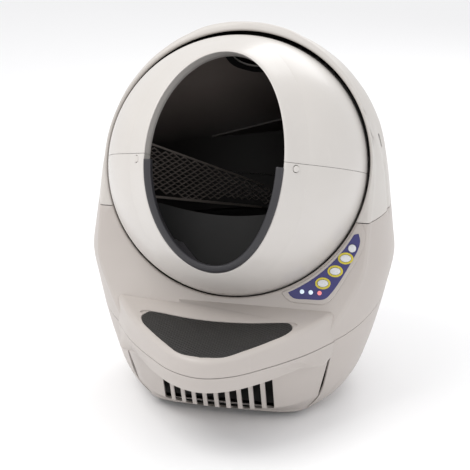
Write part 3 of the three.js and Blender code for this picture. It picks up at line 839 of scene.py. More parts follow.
class Palette:
    """All the finishes of the litter box, made once."""

    def __init__(self) -> None:
        """Builds every material."""
        self.shell = Plastic("warm_white_shell", (0.60, 0.575, 0.548), (0.54, 0.508, 0.48)).make()
        self.base = Plastic("warm_white_base", (0.505, 0.465, 0.437), (0.455, 0.415, 0.39)).make()
        self.globe = Plastic("satin_globe", (0.62, 0.592, 0.566), (0.56, 0.53, 0.502), 0.34, 0.06,
                             0.0, 0.15).make()
        # Near-black inner finish: painted shade for the dim inside of the shells, the drawer and
        # the cradle; the septum and ring gear use it too.
        self.inside = Plastic("inner_black_and_painted_shade", (0.022, 0.017, 0.014), (0.016, 0.012, 0.010), 0.6,
                              0.2, 0.0).make()
        # The cabin's colours are painted shade: much darker than the globe's plastic, and darkest
        # low down and to the right.
        self.cabin = Cabin("brown_grey_cabin_painted_shade", (0.30, 0.25, 0.23), (0.012, 0.010, 0.009)).make()
        self.grille = Plastic("dark_lattice", (0.15, 0.13, 0.118), (0.11, 0.095, 0.087), 0.42,
                              0.15, 0.0).make()
        self.black = Plastic("black_moulding", (0.013, 0.012, 0.012), (0.02, 0.018, 0.018), 0.45,
                             0.25, 0.2).make()
        self.trim = Rubber("grey_entry_rubber", (0.026, 0.025, 0.029), (0.042, 0.040, 0.045),
                           0.42).make()
        # Near-black rubber; on the litter bowl it is painted shade for the globe's dark bottom, on
        # the rollers and the port seal it is their own colour.
        self.liner = Rubber("charcoal_rubber_and_painted_shade", (0.0035, 0.0032, 0.0033), (0.007, 0.0065, 0.0065),
                            0.75).make()
        self.flap = Rubber("grey_litter_flap", (0.045, 0.043, 0.048), (0.07, 0.066, 0.072),
                           0.38).make()
        self.mat = Rubber("ribbed_mat", (0.008, 0.007, 0.007), (0.014, 0.013, 0.012), 0.6, 330.0,
                          28.0).make()
        self.navy = Print("indigo_keypad", (0.030, 0.028, 0.16), (0.022, 0.020, 0.12)).make()
        self.yellow = Print("yellow_key_ring", (0.62, 0.52, 0.045), (0.52, 0.43, 0.03)).make()
        self.key = Print("pale_key_top", (0.70, 0.71, 0.72), (0.62, 0.63, 0.66)).make()
        self.lamp = Print("blue_white_window", (0.72, 0.82, 0.90), (0.62, 0.74, 0.86), 0.2,
                          0.3).make()
        self.alert = Print("red_window", (0.90, 0.30, 0.32), (0.80, 0.18, 0.2), 0.2, 0.3).make()
        self.board = Print("green_board", (0.02, 0.10, 0.04), (0.015, 0.07, 0.03), 0.4).make()
        self.steel = Metal("plain_steel", (0.55, 0.55, 0.56)).make()
        self.felt = Rubber("carbon_felt", (0.02, 0.02, 0.02), (0.05, 0.05, 0.05), 0.95).make()


# ------------------------------------------------------------------ the outer form


@dataclass(frozen=True)
class OuterForm:
    """The egg-shaped outside of base and bonnet together.

    Args:
        levels: height, half width, middle, half depth and squareness of each level.
        samples: stations round the body.
    """

    levels: tuple[tuple[float, ...], ...] = (
        (8, 183, 34, 182, 3), (30, 217, 44, 199, 2.8), (60, 241, 40, 215, 2.4),
        (120, 265, 36, 232, 2.15), (180, 282, 36, 252, 2.05), (240, 296, 40, 268, 2),
        (305, 307.8, 46, 283, 2), (350, 302.5, 50, 284, 2), (400, 296, 56, 279, 2),
        (476, 286, 60, 263, 2), (560, 266, 68, 222, 2), (620, 234, 72, 184, 2),
        (680, 178, 78, 129, 2), (715, 124, 80, 83, 2), (738, 66, 80, 32, 2),
        (748.5, 8, 79, 6, 2),
    )
    samples: int = 232
    farthest: float = 620.0
    halvings: int = 26

    def outside(self, p: np.ndarray) -> np.ndarray:
        """Says which points lie outside the form.

        Args:
            p: points in millimetres, in the last axis.

        Returns:
            A true or false for each.
        """
        rows = np.array(self.levels, float)
        z = np.clip(p[..., 2], rows[0, 0], rows[-1, 0])
        knots = rows[:, 0]
        slope = np.gradient(rows[:, 1:], knots, axis=0)
        i = gap_of(knots, z)
        h = knots[i + 1] - knots[i]
        u = ((z - knots[i]) / h)[..., None]
        a, b = rows[i, 1:], rows[i + 1, 1:]
        smooth = cubic(a, b, slope[i], slope[i + 1], h[..., None], u)
        level = 0.85 * smooth + 0.15 * (a + (b - a) * u)
        w, middle, d, square = np.moveaxis(level, -1, 0)
        w, d = np.maximum(w, 1.0), np.maximum(d, 1.0)
        value = (np.abs(p[..., 0]) / w) ** square + (np.abs(p[..., 1] - middle) / d) ** square
        return (value > 1.0) | (p[..., 2] < rows[0, 0]) | (p[..., 2] > rows[-1, 0])

    def edge(self, turn: np.ndarray, depth: np.ndarray) -> np.ndarray:
        """Finds how far the form reaches from its middle line, in planes behind its face.

        Args:
            turn: angle round the middle line, from the across direction.
            depth: distance behind the front face.

        Returns:
            The distance out to the form's surface.
        """
        low = np.zeros(np.broadcast(turn, depth).shape)
        high = np.full(low.shape, self.farthest)
        for _ in range(self.halvings):
            half = (low + high) / 2
            out = self.outside(self.at(turn, depth, half))
            high = np.where(out, half, high)
            low = np.where(out, low, half)
        return low

    @staticmethod
    def at(turn: np.ndarray, depth: np.ndarray, reach: np.ndarray) -> np.ndarray:
        """Places a point by angle, depth behind the face and reach from the middle line."""
        middle = 262.0 - 0.52 * depth
        return FACE.place(reach * np.cos(turn), middle + reach * np.sin(turn), -depth)


@dataclass
class Body:
    """The bonnet and the two base shells, all cut from one outer form."""

    palette: Palette
    form: OuterForm = field(default_factory=OuterForm)
    ring_r: float = 261.5
    ring_lift: float = 4.0
    crease: float = 9.0
    deepest: float = 437.0
    rows: int = 118
    below_top: float = 0.4

    def ring(self, turn: np.ndarray, depth: np.ndarray, grow: np.ndarray) -> np.ndarray:
        """Places points of the round opening at a depth behind the face.

        Args:
            turn: angle round the opening.
            depth: distance behind the front face.
            grow: how far outside the opening's edge.

        Returns:
            Points in millimetres.
        """
        reach = self.ring_r + grow
        spot = GLOBE.place(reach * np.cos(turn), self.ring_lift + reach * np.sin(turn), 0.0)
        lift = (FACE.place(0.0, 0.0, 0.0) - spot) @ FACE.out - depth
        return spot + (lift / (GLOBE.out @ FACE.out))[..., None] * GLOBE.out

    def surface(self, u: np.ndarray, v: np.ndarray) -> np.ndarray:
        """Gives the skin from inside the round opening, over the face and back to the rear.

        Args:
            u: place round the body, from 0 to 1.
            v: place from the opening to the rear, from 0 to 1.

        Returns:
            Points in millimetres.
        """
        turn = 2 * np.pi * u
        row = np.rint(v * self.rows).astype(int)
        out = np.zeros((len(u), 3))
        tunnel = [(9.0, 0.0), (5.0, 0.0), (2.6, 0.3), (1.2, 1.2), (0.3, 2.6), (0.0, 5.0)]
        lip = len(tunnel)
        for i, (depth, grow) in enumerate(tunnel):
            m = row == i
            out[m] = self.ring(turn[m], np.full(m.sum(), depth), np.full(m.sum(), grow))
        corner = self.crease + 7.0 * np.clip(np.sin(turn) * 1.6 + 0.5, 0, 1)
        arc = np.linspace(0, np.pi / 2, 7)
        for i, a in enumerate(arc):
            m = row == lip + i
            depth = corner[m] * (1 - np.cos(a))
            reach = self.form.edge(turn[m], corner[m]) - corner[m] * (1 - np.sin(a))
            spot = self.form.at(turn[m], depth, reach)
            least = self.ring(turn[m], depth, np.full(m.sum(), 5.4 + 0.35 * i))
            centre = self.form.at(turn[m], depth, np.zeros(m.sum()))
            short = ((spot - centre) ** 2).sum(1) < ((least - centre) ** 2).sum(1)
            spot[short] = least[short]
            out[m] = spot
        start = lip + len(arc)
        m = row >= start
        share = (row[m] - start + 1) / (self.rows - start + 1)
        depth = corner[m] + (self.deepest - corner[m]) * np.sin(share * np.pi / 2)
        out[m] = self.relief(self.form.at(turn[m], depth, self.form.edge(turn[m], depth)))
        out[:, 2] = np.minimum(out[:, 2], HEIGHT - self.below_top)
        return out

    @staticmethod
    def relief(p: np.ndarray) -> np.ndarray:
        """Presses a shallow pad round each latch and a channel down to the seam.

        Args:
            p: points of the outer form.

        Returns:
            The points, pressed in where the reliefs are.
        """
        x, y, z = p[:, 0], p[:, 1], p[:, 2]
        pad = np.clip(1.6 - np.hypot((y - 50) / 15.0, (z - 530) / 30.0), 0, 0.6) / 0.6
        middle = 30.0 + 0.12 * np.clip(z - 400, 0, 130)
        channel = np.clip((9.5 - np.abs(y - middle)) / 3.0, 0, 1)
        channel = channel * np.clip((z - 388) / 8.0, 0, 1) * np.clip((530 - z) / 30.0, 0, 1)
        deep = 2.2 * np.maximum(pad, channel) * (np.abs(x) > 200)
        return p - np.column_stack([np.sign(x) * deep, np.zeros(len(p)), np.zeros(len(p))])

    def build(self) -> None:
        """Makes the bonnet, the upper and lower shells and what lies between them."""
        whole = Bench.skin("body_form", self.form.samples, self.rows, self.surface, (0, 60, 330))
        bonnet = Bench.twin(whole, "bonnet_cover")
        self.shell(bonnet, self.palette.shell, 0.9, [((0, 0, SEAM_Z + BONNET_GAP), (0, 0, -1))])
        self.latch_slots(bonnet)
        Bench.hand_over(bonnet, "bonnet", "shell_plastic", ["bonnet_shell"])
        upper = Bench.twin(whole, "base_front_cover")
        self.shell(upper, self.palette.base, 0.8, [
            ((0, 0, SEAM_Z - BONNET_GAP), (0, 0, 1)),
            (KINK + SEAM_NORMAL * FRONT_GAP, -SEAM_NORMAL), ((0, 0, PART_Z), (0, 0, -1))])
        Bench.hand_over(upper, "base", "shell_plastic", ["base_upper_shell"])
        lower = Bench.call(whole, "base_tub")
        self.shell(lower, self.palette.base, 0.8, [
            (KINK - SEAM_NORMAL * FRONT_GAP, SEAM_NORMAL),
            (KINK - DRAWER_NORMAL * DRAWER_GAP, DRAWER_NORMAL)])
        Bench.hand_over(lower, "base", "base_plastic", ["base_lower_shell"])
        self.bowl()

    def shell(self, thing: bpy.types.Object, finish: bpy.types.Material, soft: float,
              cuts: Sequence[tuple[Sequence[float], Sequence[float]]]) -> None:
        """Cuts one shell out of the whole form, and gives it a wall and soft edges.

        Args:
            thing: a copy of the whole form.
            finish: the shell's outer finish.
            soft: width of the rounding of its edges.
            cuts: a point and a direction for each plane; what lies that way is cut off.
        """
        for point, away in cuts:
            Bench.cut(thing, point, away)
        # The inner faces take the near-black inner finish, painted shade for the inside of the
        # body.
        Bench.dress(thing, finish, self.palette.inside)
        Bench.thicken(thing, SHELL_WALL, 1)
        Bench.soften(thing, soft, 2, 60.0)

    def latch_slots(self, bonnet: bpy.types.Object) -> None:
        """Cuts the two finger slots and sets the latch buttons in them.

        Args:
            bonnet: the bonnet's shell.
        """
        for side in Side:
            low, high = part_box(f"latch_{side.name.lower()}")
            low, high = np.array(low) / MM, np.array(high) / MM
            middle = (low + high) / 2
            outline = [(middle[0] - 22, y, z) for y, z in self.slot_outline(middle, 14.2, 5.0)]
            cutter = Bench.slab("latch_cutter", np.array(outline), (44.0, 0.0, 0.0))
            Bench.carve(bonnet, cutter)
            outline = [(low[0] + 0.5, y, z) for y, z in self.slot_outline(middle, 13.2, 4.2)]
            button = Bench.slab(f"latch_button_{side.name.lower()}", np.array(outline),
                                (high[0] - low[0] - 2.5, 0.0, 0.0), 1.4)
            Bench.dress(button, self.palette.black)
            Bench.hand_over(button, f"latch_{side.name.lower()}", "black_plastic",
                            [f"latch_{side.name.lower()}"])

    @staticmethod
    def slot_outline(middle: np.ndarray, half: float, end: float) -> list[tuple[float, float]]:
        """Gives a round-ended slot's outline in the side plane.

        Args:
            middle: the slot's middle.
            half: half its length.
            end: radius of its round ends.

        Returns:
            Its points, as Y and Z.
        """
        points = []
        for i in range(24):
            a = 2 * math.pi * i / 24
            shift = (half - end) * (1 if math.sin(a) >= 0 else -1)
            points.append((middle[1] + end * math.cos(a), middle[2] + shift + end * math.sin(a)))
        return points

    def bowl(self) -> None:
        """Makes the cradle that the globe turns in, with its deck, in the near-black inner finish
        that is painted shade.
        """
        reach = GLOBE_R + 12.0
        bowl_share = 0.85

        def form(u: np.ndarray, v: np.ndarray) -> np.ndarray:
            """Sweeps from the chute's hole up the bowl and out along the deck.

            Args:
                u: place round the bowl, from 0 to 1.
                v: place up it, from 0 to 1.

            Returns:
                Points in millimetres.
            """
            turn = 2 * np.pi * u
            top = math.asin((SEAM_Z - 6 - GLOBE_Z) / reach)
            low = -math.acos((PORT_R + 3) / reach)
            angle = low + (top - low) * np.clip(v / bowl_share, 0, 1)
            ring = reach * np.cos(angle)
            beyond = np.clip((v - bowl_share) / 0.15, 0, 1)
            x, y = ring * np.cos(turn), ring * np.sin(turn)
            deck = np.array([outer_deck(t) for t in turn])
            x = x + beyond * (deck * np.cos(turn) - x)
            y = y + beyond * (deck * np.sin(turn) - y)
            z = GLOBE_Z + reach * np.sin(angle)
            return np.stack([x, y, z], axis=1)

        bowl = Bench.skin("globe_cradle", 96, 30, form, (0, 0, 0))
        Bench.cut(bowl, FACE.place(0.0, 0.0, -6.0), FACE.out)
        Bench.dress(bowl, self.palette.inside)
        Bench.thicken(bowl, 2.5)
        Bench.hand_over(bowl, "base", "shell_plastic")


def outer_deck(turn: float) -> float:
    """Gives the deck's reach in a direction, just inside the outer walls.

    Args:
        turn: angle round the body's middle line.

    Returns:
        The reach in millimetres.
    """
    w, d, middle = 290.0, 274.0, 54.0
    c, s = math.cos(turn), math.sin(turn)
    a = (c / w) ** 2 + (s / d) ** 2
    b = -2 * s * middle / d**2
    return (-b + math.sqrt(b * b - 4 * a * ((middle / d) ** 2 - 1))) / (2 * a)


# ------------------------------------------------------------------ step and drawer


STEP_PLAN: Pairs = ((0, -343), (55, -325), (113, -273), (174, -201), (217, -130))
LIP_PLAN: Pairs = ((0, -338), (52, -320), (108, -269), (165, -198), (199, -177), (213, -130))
PANEL_TOP: Pairs = ((0, -240), (60, -233), (125, -207), (175, -165), (208, -130))
PANEL_MID: Pairs = ((0, -200), (60, -194), (116, -176), (160, -142), (184, -110))
PANEL_LOW: Pairs = ((0, -133), (70, -131), (120, -127), (148, -118), (163, -104))


def plan(half: Pairs, u: np.ndarray, inset: float = 0.0) -> np.ndarray:
    """Follows a plan outline from the left rear corner, round the front, to the right.

    Args:
        half: the right-hand half, from the front middle back.
        u: place along it, from 0 to 1.
        inset: how far it is drawn in toward the middle.

    Returns:
        Points in plan.
    """
    left = [(-x, y) for x, y in reversed(half[1:])]
    return grown(spline([*left, *half], u), np.array([0.0, LEDGE_Y]), -inset)


def step_top(y: np.ndarray) -> np.ndarray:
    """Gives the height of the step's gently sloping top."""
    return 213.0 + 0.123 * (y + DEPTH / 2)


@dataclass
class Step:
    """The step in front of the globe, with its ribbed mat."""

    palette: Palette
    mat_plan: Pairs = ((0, -331), (40, -323), (74, -295), (110, -259), (139, -225), (146, -203),
                       (138, -185), (118, -186), (60, -197), (0, -201))

    def mat_outline(self, grow: float, rise: float, count: int = 120) -> np.ndarray:
        """Gives the mat's outline on the step's top, grown by a little.

        Args:
            grow: how far outside the mat's own edge.
            rise: height above the step's top.
            count: points round it.

        Returns:
            Points in millimetres.
        """
        left = [(-x, y) for x, y in reversed(self.mat_plan[1:-1])]
        loop = spline([*self.mat_plan, *left, self.mat_plan[0]], np.arange(count) / count)
        loop = grown(loop, np.array([0.0, -253.0]), grow)
        return np.column_stack([loop, step_top(loop[:, 1]) + rise])

    def build(self) -> None:
        """Makes the step's cover and the mat in its recess."""
        rows = [(0.0, 0.0), (0.0, 0.25), (0.0, 0.5), (0.0, 0.75), (0.0, 1.0)]
        fillet = 9.0
        round_share = 0.86
        for i in range(1, 6):
            a = math.pi / 2 * i / 5
            rows.append((fillet * (1 - math.cos(a)) * 1.3, 1.0 + math.sin(a)))

        def form(u: np.ndarray, v: np.ndarray) -> np.ndarray:
            """Rises from the parting line, rounds over and stops at the flat top.

            Args:
                u: place round the step, from 0 to 1.
                v: place up it, from 0 to 1.

            Returns:
                Points in millimetres.
            """
            out = np.zeros((len(u), 3))
            row = np.rint(v * (len(rows) - 1)).astype(int)
            for i, (inset, rise) in enumerate(rows):
                m = row == i
                xy = plan(STEP_PLAN, u[m] / round_share, inset)
                back = u[m] > round_share
                along = (u[m] - round_share) / 0.14
                edge = plan(STEP_PLAN, np.array([1.0]), inset)[0]
                straight = np.full(len(along), LEDGE_Y + 26)
                xy[back] = np.column_stack([edge[0] * (1 - 2 * along), straight])[back]
                top = step_top(xy[:, 1])
                low = PART_Z + 0.35
                z = low + (top - fillet - low) * min(rise, 1.0) + fillet * max(rise - 1.0, 0.0)
                out[m] = np.column_stack([xy, z])
            return out

        step = Bench.skin("step_cover", 150, len(rows) - 1, form)
        Bench.cap_ends(step, bpy.ops.mesh.edge_face_add)
        cutter = Bench.slab("mat_cutter", self.mat_outline(1.1, -4.0), (0.0, 0.0, 30.0))
        Bench.carve(step, cutter)
        for side in Side:
            arc = [(side.value * 141 + 13 * math.cos(a), -190 + 9 * math.sin(a),
                    step_top(np.array(-190.0)) - 2.5)
                   for a in turns(24)]
            Bench.carve(step, Bench.slab("grip_cutter", np.array(arc), (0.0, 0.0, 20.0)))
        Bench.dress(step, self.palette.base)
        Bench.hand_over(step, "base", "shell_plastic", angle=35.0)
        mat = Bench.slab("ribbed_step_mat", self.mat_outline(-0.4, -3.6), (0.0, 0.0, 3.0), 1.2)
        Bench.dress(mat, self.palette.mat)
        Bench.hand_over(mat, "base", "black_rubber", ["step_mat"])


@dataclass
class Drawer:
    """The waste drawer's front, with its hand hold and slots."""

    palette: Palette
    slot_count: int = 10
    slot_pitch: float = 22.7
    slot_w: float = 14.5
    slot_low: float = 46.0
    slot_high: float = 141.0
    slot_corner: float = 3.2
    foot_z: float = 13.0
    head_z: float = 168.0
    bent_z: float = 48.0
    upright_z: float = 150.0

    def wall_y(self, x: float, z: float) -> float:
        """Gives the panel's surface at a place across and a height.

        Args:
            x: place across.
            z: height above the floor.

        Returns:
            The surface's Y.
        """
        along = np.linspace(0.5, 1.0, 60)
        levels = [(self.bent_z, PANEL_MID), (self.upright_z, PANEL_TOP)]
        found = []
        for _, half in levels:
            curve = plan(half, along)
            found.append(float(np.interp(abs(x), curve[:, 0], curve[:, 1])))
        share = (z - levels[0][0]) / (levels[1][0] - levels[0][0])
        return found[0] + (found[1] - found[0]) * share

    def build(self) -> None:
        """Makes the overhanging lip and the slotted panel under it."""
        top = PART_Z - 1.2
        rows = [(LIP_PLAN, 26.0, LIP_Z + 5), (LIP_PLAN, 9.0, LIP_Z + 1.2), (LIP_PLAN, 3.0, LIP_Z),
                (LIP_PLAN, 1.0, LIP_Z + 0.6), (LIP_PLAN, 0.1, LIP_Z + 2.6),
                (LIP_PLAN, 0.0, LIP_Z + 6), (STEP_PLAN, 0.2, top - 8), (STEP_PLAN, 0.1, top - 1.0),
                (STEP_PLAN, 0.8, top), (STEP_PLAN, 26.0, top)]

        def lip_form(u: np.ndarray, v: np.ndarray) -> np.ndarray:
            """Rises from under the hand hold, out round the lip and in along its top.

            Args:
                u: place round the lip, from 0 to 1.
                v: place along its section, from 0 to 1.

            Returns:
                Points in millimetres.
            """
            out = np.zeros((len(u), 3))
            row = np.rint(v * (len(rows) - 1)).astype(int)
            for i, (half, inset, z) in enumerate(rows):
                m = row == i
                out[m] = np.column_stack([plan(half, u[m], inset), np.full(m.sum(), z)])
            return out

        lip = Bench.skin("drawer_lip", 120, len(rows) - 1, lip_form, (0, -150, 160))
        Bench.cut(lip, KINK, -DRAWER_NORMAL)
        Bench.thicken(lip, 3.0)
        levels = [(PANEL_LOW, 9.0, self.foot_z), (PANEL_LOW, 2.5, 14.5), (PANEL_LOW, 0.0, 19.0),
                  (PANEL_MID, 0.0, self.bent_z), (PANEL_TOP, 0.0, self.upright_z),
                  (PANEL_TOP, 0.0, self.head_z)]

        def panel_form(u: np.ndarray, v: np.ndarray) -> np.ndarray:
            """Follows the panel's levels from its foot up behind the lip.

            Args:
                u: place across the panel, from 0 to 1.
                v: place up it, from 0 to 1.

            Returns:
                Points in millimetres.
            """
            sections = np.array([np.column_stack([plan(half, u, inset), np.full(len(u), z)])
                                 for half, inset, z in levels])
            knots = np.array([level[2] for level in levels])
            z = self.foot_z + (self.head_z - self.foot_z) * v**1.4
            i = gap_of(knots, z)
            share = ((z - knots[i]) / (knots[i + 1] - knots[i]))[:, None]
            rows_at = np.arange(len(u))
            return sections[i, rows_at] * (1 - share) + sections[i + 1, rows_at] * share

        panel = Bench.skin("drawer_panel", 96, 26, panel_form, (0, -60, 90))
        # The panel's inner faces take the near-black inner finish, painted shade for the inside of
        # the drawer.
        Bench.dress(panel, self.palette.base, self.palette.inside)
        Bench.thicken(panel, 4.0, 1)
        Bench.cut(panel, KINK, -DRAWER_NORMAL, True)
        for i in range(self.slot_count):
            x = (i - (self.slot_count - 1) / 2) * self.slot_pitch
            Bench.carve(panel, Bench.slab("slot_cutter", self.slot(x), (0.0, -32.0, 0.0)))
        Bench.soften(panel, 0.5, 2, 50.0)
        Bench.dress(lip, self.palette.base)
        Bench.soften(lip, 0.5, 2, 60.0)
        Bench.hand_over(lip, "drawer", "base_plastic")
        Bench.hand_over(panel, "drawer", "base_plastic", ["drawer_front"])
        Bench.dress(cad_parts["drawer_tray"], self.palette.black)
        Bench.dress(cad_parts["carbon_filter"], self.palette.felt)

    def slot(self, x: float) -> np.ndarray:
        """Gives the outline of one round-cornered slot, just behind the panel.

        Args:
            x: the slot's place across.

        Returns:
            Its points in millimetres.
        """
        r = self.slot_corner
        half = self.slot_w / 2
        low, high = self.slot_low, self.slot_high
        outline = []
        for cx, cz, first in ((half - r, high - r, 0), (r - half, high - r, 90),
                              (r - half, low + r, 180), (half - r, low + r, 270)):
            for k in range(4):
                a = math.radians(first + 30 * k)
                px, pz = x + cx + r * math.cos(a), cz + r * math.sin(a)
                outline.append((px, self.wall_y(x, pz) + 16.0, pz))
        return np.array(outline)


# ------------------------------------------------------------------ globe


@dataclass
class Globe:
    """The turning globe: two shells, the entry's rim and trim, and what is inside."""

    palette: Palette
    wall: float = 3.5
    screen_turn: float = -36.0
    screen_slope: float = 0.178
    screen_half_t: float = 1.8
    lattice_cell: float = 9.6

    @staticmethod
    def on_sphere(x: np.ndarray, v: np.ndarray, r: np.ndarray) -> np.ndarray:
        """Places points in front of the globe's middle at a distance from it."""
        return GLOBE.place(x, v, np.sqrt(np.maximum(r**2 - x**2 - v**2, 0.0)))

    def band(self, profile: Pairs, u: np.ndarray, v: np.ndarray, start: float = 0.0,
             turn: float = 360.0) -> np.ndarray:
        """Sweeps a profile along the entry's edge.

        Args:
            profile: offsets outward from the edge, and distances from the globe's middle.
            u: place along the edge, from 0 to 1.
            v: place along the profile, from 0 to 1.
            start: where along the edge it starts, in degrees.
            turn: how far it goes, in degrees.

        Returns:
            Points in millimetres.
        """
        rows = np.array(profile, float)
        at = v * (len(rows) - 1)
        away = np.interp(at, np.arange(len(rows)), rows[:, 0])
        r = np.interp(at, np.arange(len(rows)), rows[:, 1])
        a = np.radians(start + turn * u)
        return self.on_sphere((ENTRY_HALF_W + away) * np.cos(a),
                              (ENTRY_HALF_H + away) * np.sin(a) - ENTRY_DROP, r)

    def oval(self, grow: float, count: int = 128) -> list[tuple[float, float]]:
        """Gives the entry's oval, grown by a little, in the globe's own plane."""
        half_w, half_h = ENTRY_HALF_W + grow, ENTRY_HALF_H + grow
        return [(half_w * math.cos(a), half_h * math.sin(a) - ENTRY_DROP) for a in turns(count)]

    def build(self) -> None:
        """Makes every piece of the globe."""
        bpy.ops.object.select_all(action="DESELECT")
        bpy.ops.mesh.primitive_uv_sphere_add(
            segments=160, ring_count=80, radius=GLOBE_R * MM, location=Vector(GLOBE.origin) * MM,
            rotation=(0.0, math.pi / 2, 0.0))
        ball = Bench.named("globe_ball")
        bpy.ops.object.transform_apply(location=True, rotation=True, scale=True)
        # The shell's inner faces take the cabin finish, which is painted shade.
        Bench.dress(ball, self.palette.globe, self.palette.cabin)
        Bench.thicken(ball, self.wall, 1)
        outline = np.array([GLOBE.place(x, v, 60.0) for x, v in self.oval(7.0)])
        Bench.carve(ball, Bench.slab("entry_cutter", outline, GLOBE.out * 260))
        rim = [(44.0, GLOBE_R - 0.5), (36.0, GLOBE_R + 0.3), (28.0, GLOBE_R + 1.8),
               (20.0, GLOBE_R + 4.2), (13.0, GLOBE_R + 7.2), (8.0, GLOBE_R + 9.4),
               (4.6, GLOBE_R + 10.6), (2.4, GLOBE_R + 11.0), (0.9, GLOBE_R + 10.6),
               (0.0, GLOBE_R + 9.4), (0.0, GLOBE_R + 3.0), (0.0, GLOBE_R - 11.0),
               (0.0, GLOBE_R - 25.0), (1.2, GLOBE_R - 26.0), (2.6, GLOBE_R - 25.0),
               (3.0, GLOBE_R - 8.0), (9.0, GLOBE_R - 3.4), (26.0, GLOBE_R - 2.2),
               (44.0, GLOBE_R - 0.5)]
        flange = Bench.skin("entry_rim", 168, len(rim) - 1, lambda u, v: self.band(rim, u, v))
        Bench.close_out(flange)
        Bench.dress(flange, self.palette.globe, self.palette.cabin)
        aim = np.array([0.0, math.sin(2 * TILT), math.cos(2 * TILT)])
        side = np.array([0.0, aim[2], -aim[1]])
        port = [np.array(GLOBE.origin) + aim * 150 + PORT_R * (
            math.cos(a) * np.array([1.0, 0, 0]) + math.sin(a) * side)
            for a in turns(64)]
        Bench.carve(ball, Bench.slab("port_cutter", np.array(port), aim * 160))
        for side in Side:
            for shell in (ball, flange):
                outline, normal = self.cap_round(side, 7.2, -14.0)
                Bench.carve(shell, Bench.slab("cap_cutter", outline, normal * 40.0))
        centre = GLOBE.place(0.0, 0.0, 0.0)
        halves = {"globe_top": (-GLOBE.up, 0.35, "globe_upper_shell"),
                  "globe_bottom": (GLOBE.up, -0.35, "globe_lower_shell")}
        for name, (away, shift, node) in halves.items():
            half = Bench.twin(ball, name)
            Bench.cut(half, centre + GLOBE.up * shift, away, True)
            edge = Bench.twin(flange, f"{name}_rim")
            Bench.cut(edge, centre + GLOBE.up * shift, away, True)
            Bench.soften(half, 0.5, 2, 60.0)
            Bench.soften(edge, 0.5, 2, 60.0)
            Bench.hand_over(half, "globe", "globe_plastic", [node])
            Bench.hand_over(edge, "globe", "globe_plastic", angle=40.0)
        for spare in (ball, flange):
            bpy.data.objects.remove(spare, do_unlink=True)
        self.trim()
        self.liner()
        self.flap()
        self.screen()
        self.caps()
        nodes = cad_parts
        Bench.dress(nodes["ring_gear"], self.palette.inside)
        Bench.dress(nodes["septum"], self.palette.inside)
        Bench.dress(nodes["waste_port_seal"], self.palette.liner)

    def trim(self) -> None:
        """Makes the soft rubber trim round the lower half of the entry."""
        profile = [(-13.0, GLOBE_R - 8), (-14.0, GLOBE_R - 2), (-14.2, GLOBE_R + 3),
                   (-13.4, GLOBE_R + 7), (-11.2, GLOBE_R + 9.8), (-8.0, GLOBE_R + 11.2),
                   (-4.0, GLOBE_R + 12.2), (-1.4, GLOBE_R + 12.6), (0.2, GLOBE_R + 12.2),
                   (0.2, GLOBE_R + 11.3), (-0.6, GLOBE_R + 9), (-0.6, GLOBE_R - 8),
                   (-13.0, GLOBE_R - 8)]
        trim = Bench.skin("entry_lip_trim", 120, len(profile) - 1,
                          lambda u, v: self.band(profile, u, v, 181.6, 176.8))
        Bench.cap_ends(trim, bpy.ops.mesh.fill)
        Bench.soften(trim, 0.6, 2, 50.0)
        Bench.dress(trim, self.palette.trim)
        Bench.hand_over(trim, "globe", "grey_rubber", ["entry_trim"], 50.0)

    def liner(self) -> None:
        """Makes the soft bowl that holds the litter, with its rolled edge, in near-black rubber
        that is painted shade for the globe's dark bottom.
        """
        reach = GLOBE_R - self.wall - 0.8

        def form(u: np.ndarray, v: np.ndarray) -> np.ndarray:
            """Sweeps from the bowl's lowest point up to a rim that swells a little.

            Args:
                u: place round the bowl, from 0 to 1.
                v: place up it, from 0 to 1.

            Returns:
                Points in millimetres.
            """
            turn = 2 * np.pi * u
            edge = np.arccos(0.36) * (1 + 0.05 * np.sin(3 * turn))
            angle = edge * np.minimum(v / 0.92, 1.0)
            rolled = 9.0 * np.clip((v - 0.90) / 0.10, 0, 1) ** 2
            swell = 4.0 * np.exp(-((v - 0.85) / 0.04) ** 2)
            r = reach - rolled - swell
            x = r * np.sin(angle) * np.cos(turn)
            n = r * np.sin(angle) * np.sin(turn)
            return GLOBE.place(x, -r * np.cos(angle), np.minimum(n, 116.0))

        below = tuple(GLOBE.place(0.0, -600.0, 0.0))
        liner = Bench.skin("litter_bowl", 120, 40, form, below)
        Bench.dress(liner, self.palette.liner)
        Bench.hand_over(liner, "globe", "grey_rubber", ["litter_liner"], 60.0)

    def flap(self) -> None:
        """Makes the low flap behind the entry's sill that keeps the litter in."""
        first, last, sill = 227.6, 312.4, GLOBE_R - 26.0

        def form(u: np.ndarray, v: np.ndarray) -> np.ndarray:
            """Rises from the entry's sleeve to an edge that dips in the middle.

            Args:
                u: place across the flap, from 0 to 1.
                v: place up it, from 0 to 1.

            Returns:
                Points in millimetres.
            """
            a = np.radians(first + (last - first) * u)
            x = (ENTRY_HALF_W - 4.0) * np.cos(a)
            low = (ENTRY_HALF_H - 4.0) * np.sin(a) - ENTRY_DROP
            high = np.maximum(-166.0 + 11.0 * (x / 86.0) ** 2, low)
            y = low + (high - low) * v
            n = np.sqrt(sill**2 - x**2 - low**2) - 26.0 * v - 6.0 * np.sin(np.pi * v)
            return GLOBE.place(x, y, n)

        flap = Bench.skin("litter_guard_flap", 60, 10, form)
        Bench.modify(flap, "SOLIDIFY", thickness=2.4 * MM, offset=0.0, use_even_offset=False)
        Bench.soften(flap, 0.6, 2, 50.0)
        Bench.dress(flap, self.palette.flap)
        Bench.hand_over(flap, "globe", "grey_rubber", angle=50.0)

    def screen(self) -> None:
        """Makes the sifting screen as a lattice of crossing bars."""
        turn = math.radians(self.screen_turn)
        reach = GLOBE_R - self.wall - 4.0
        cell, start = self.lattice_cell, -0.35 * GLOBE_R

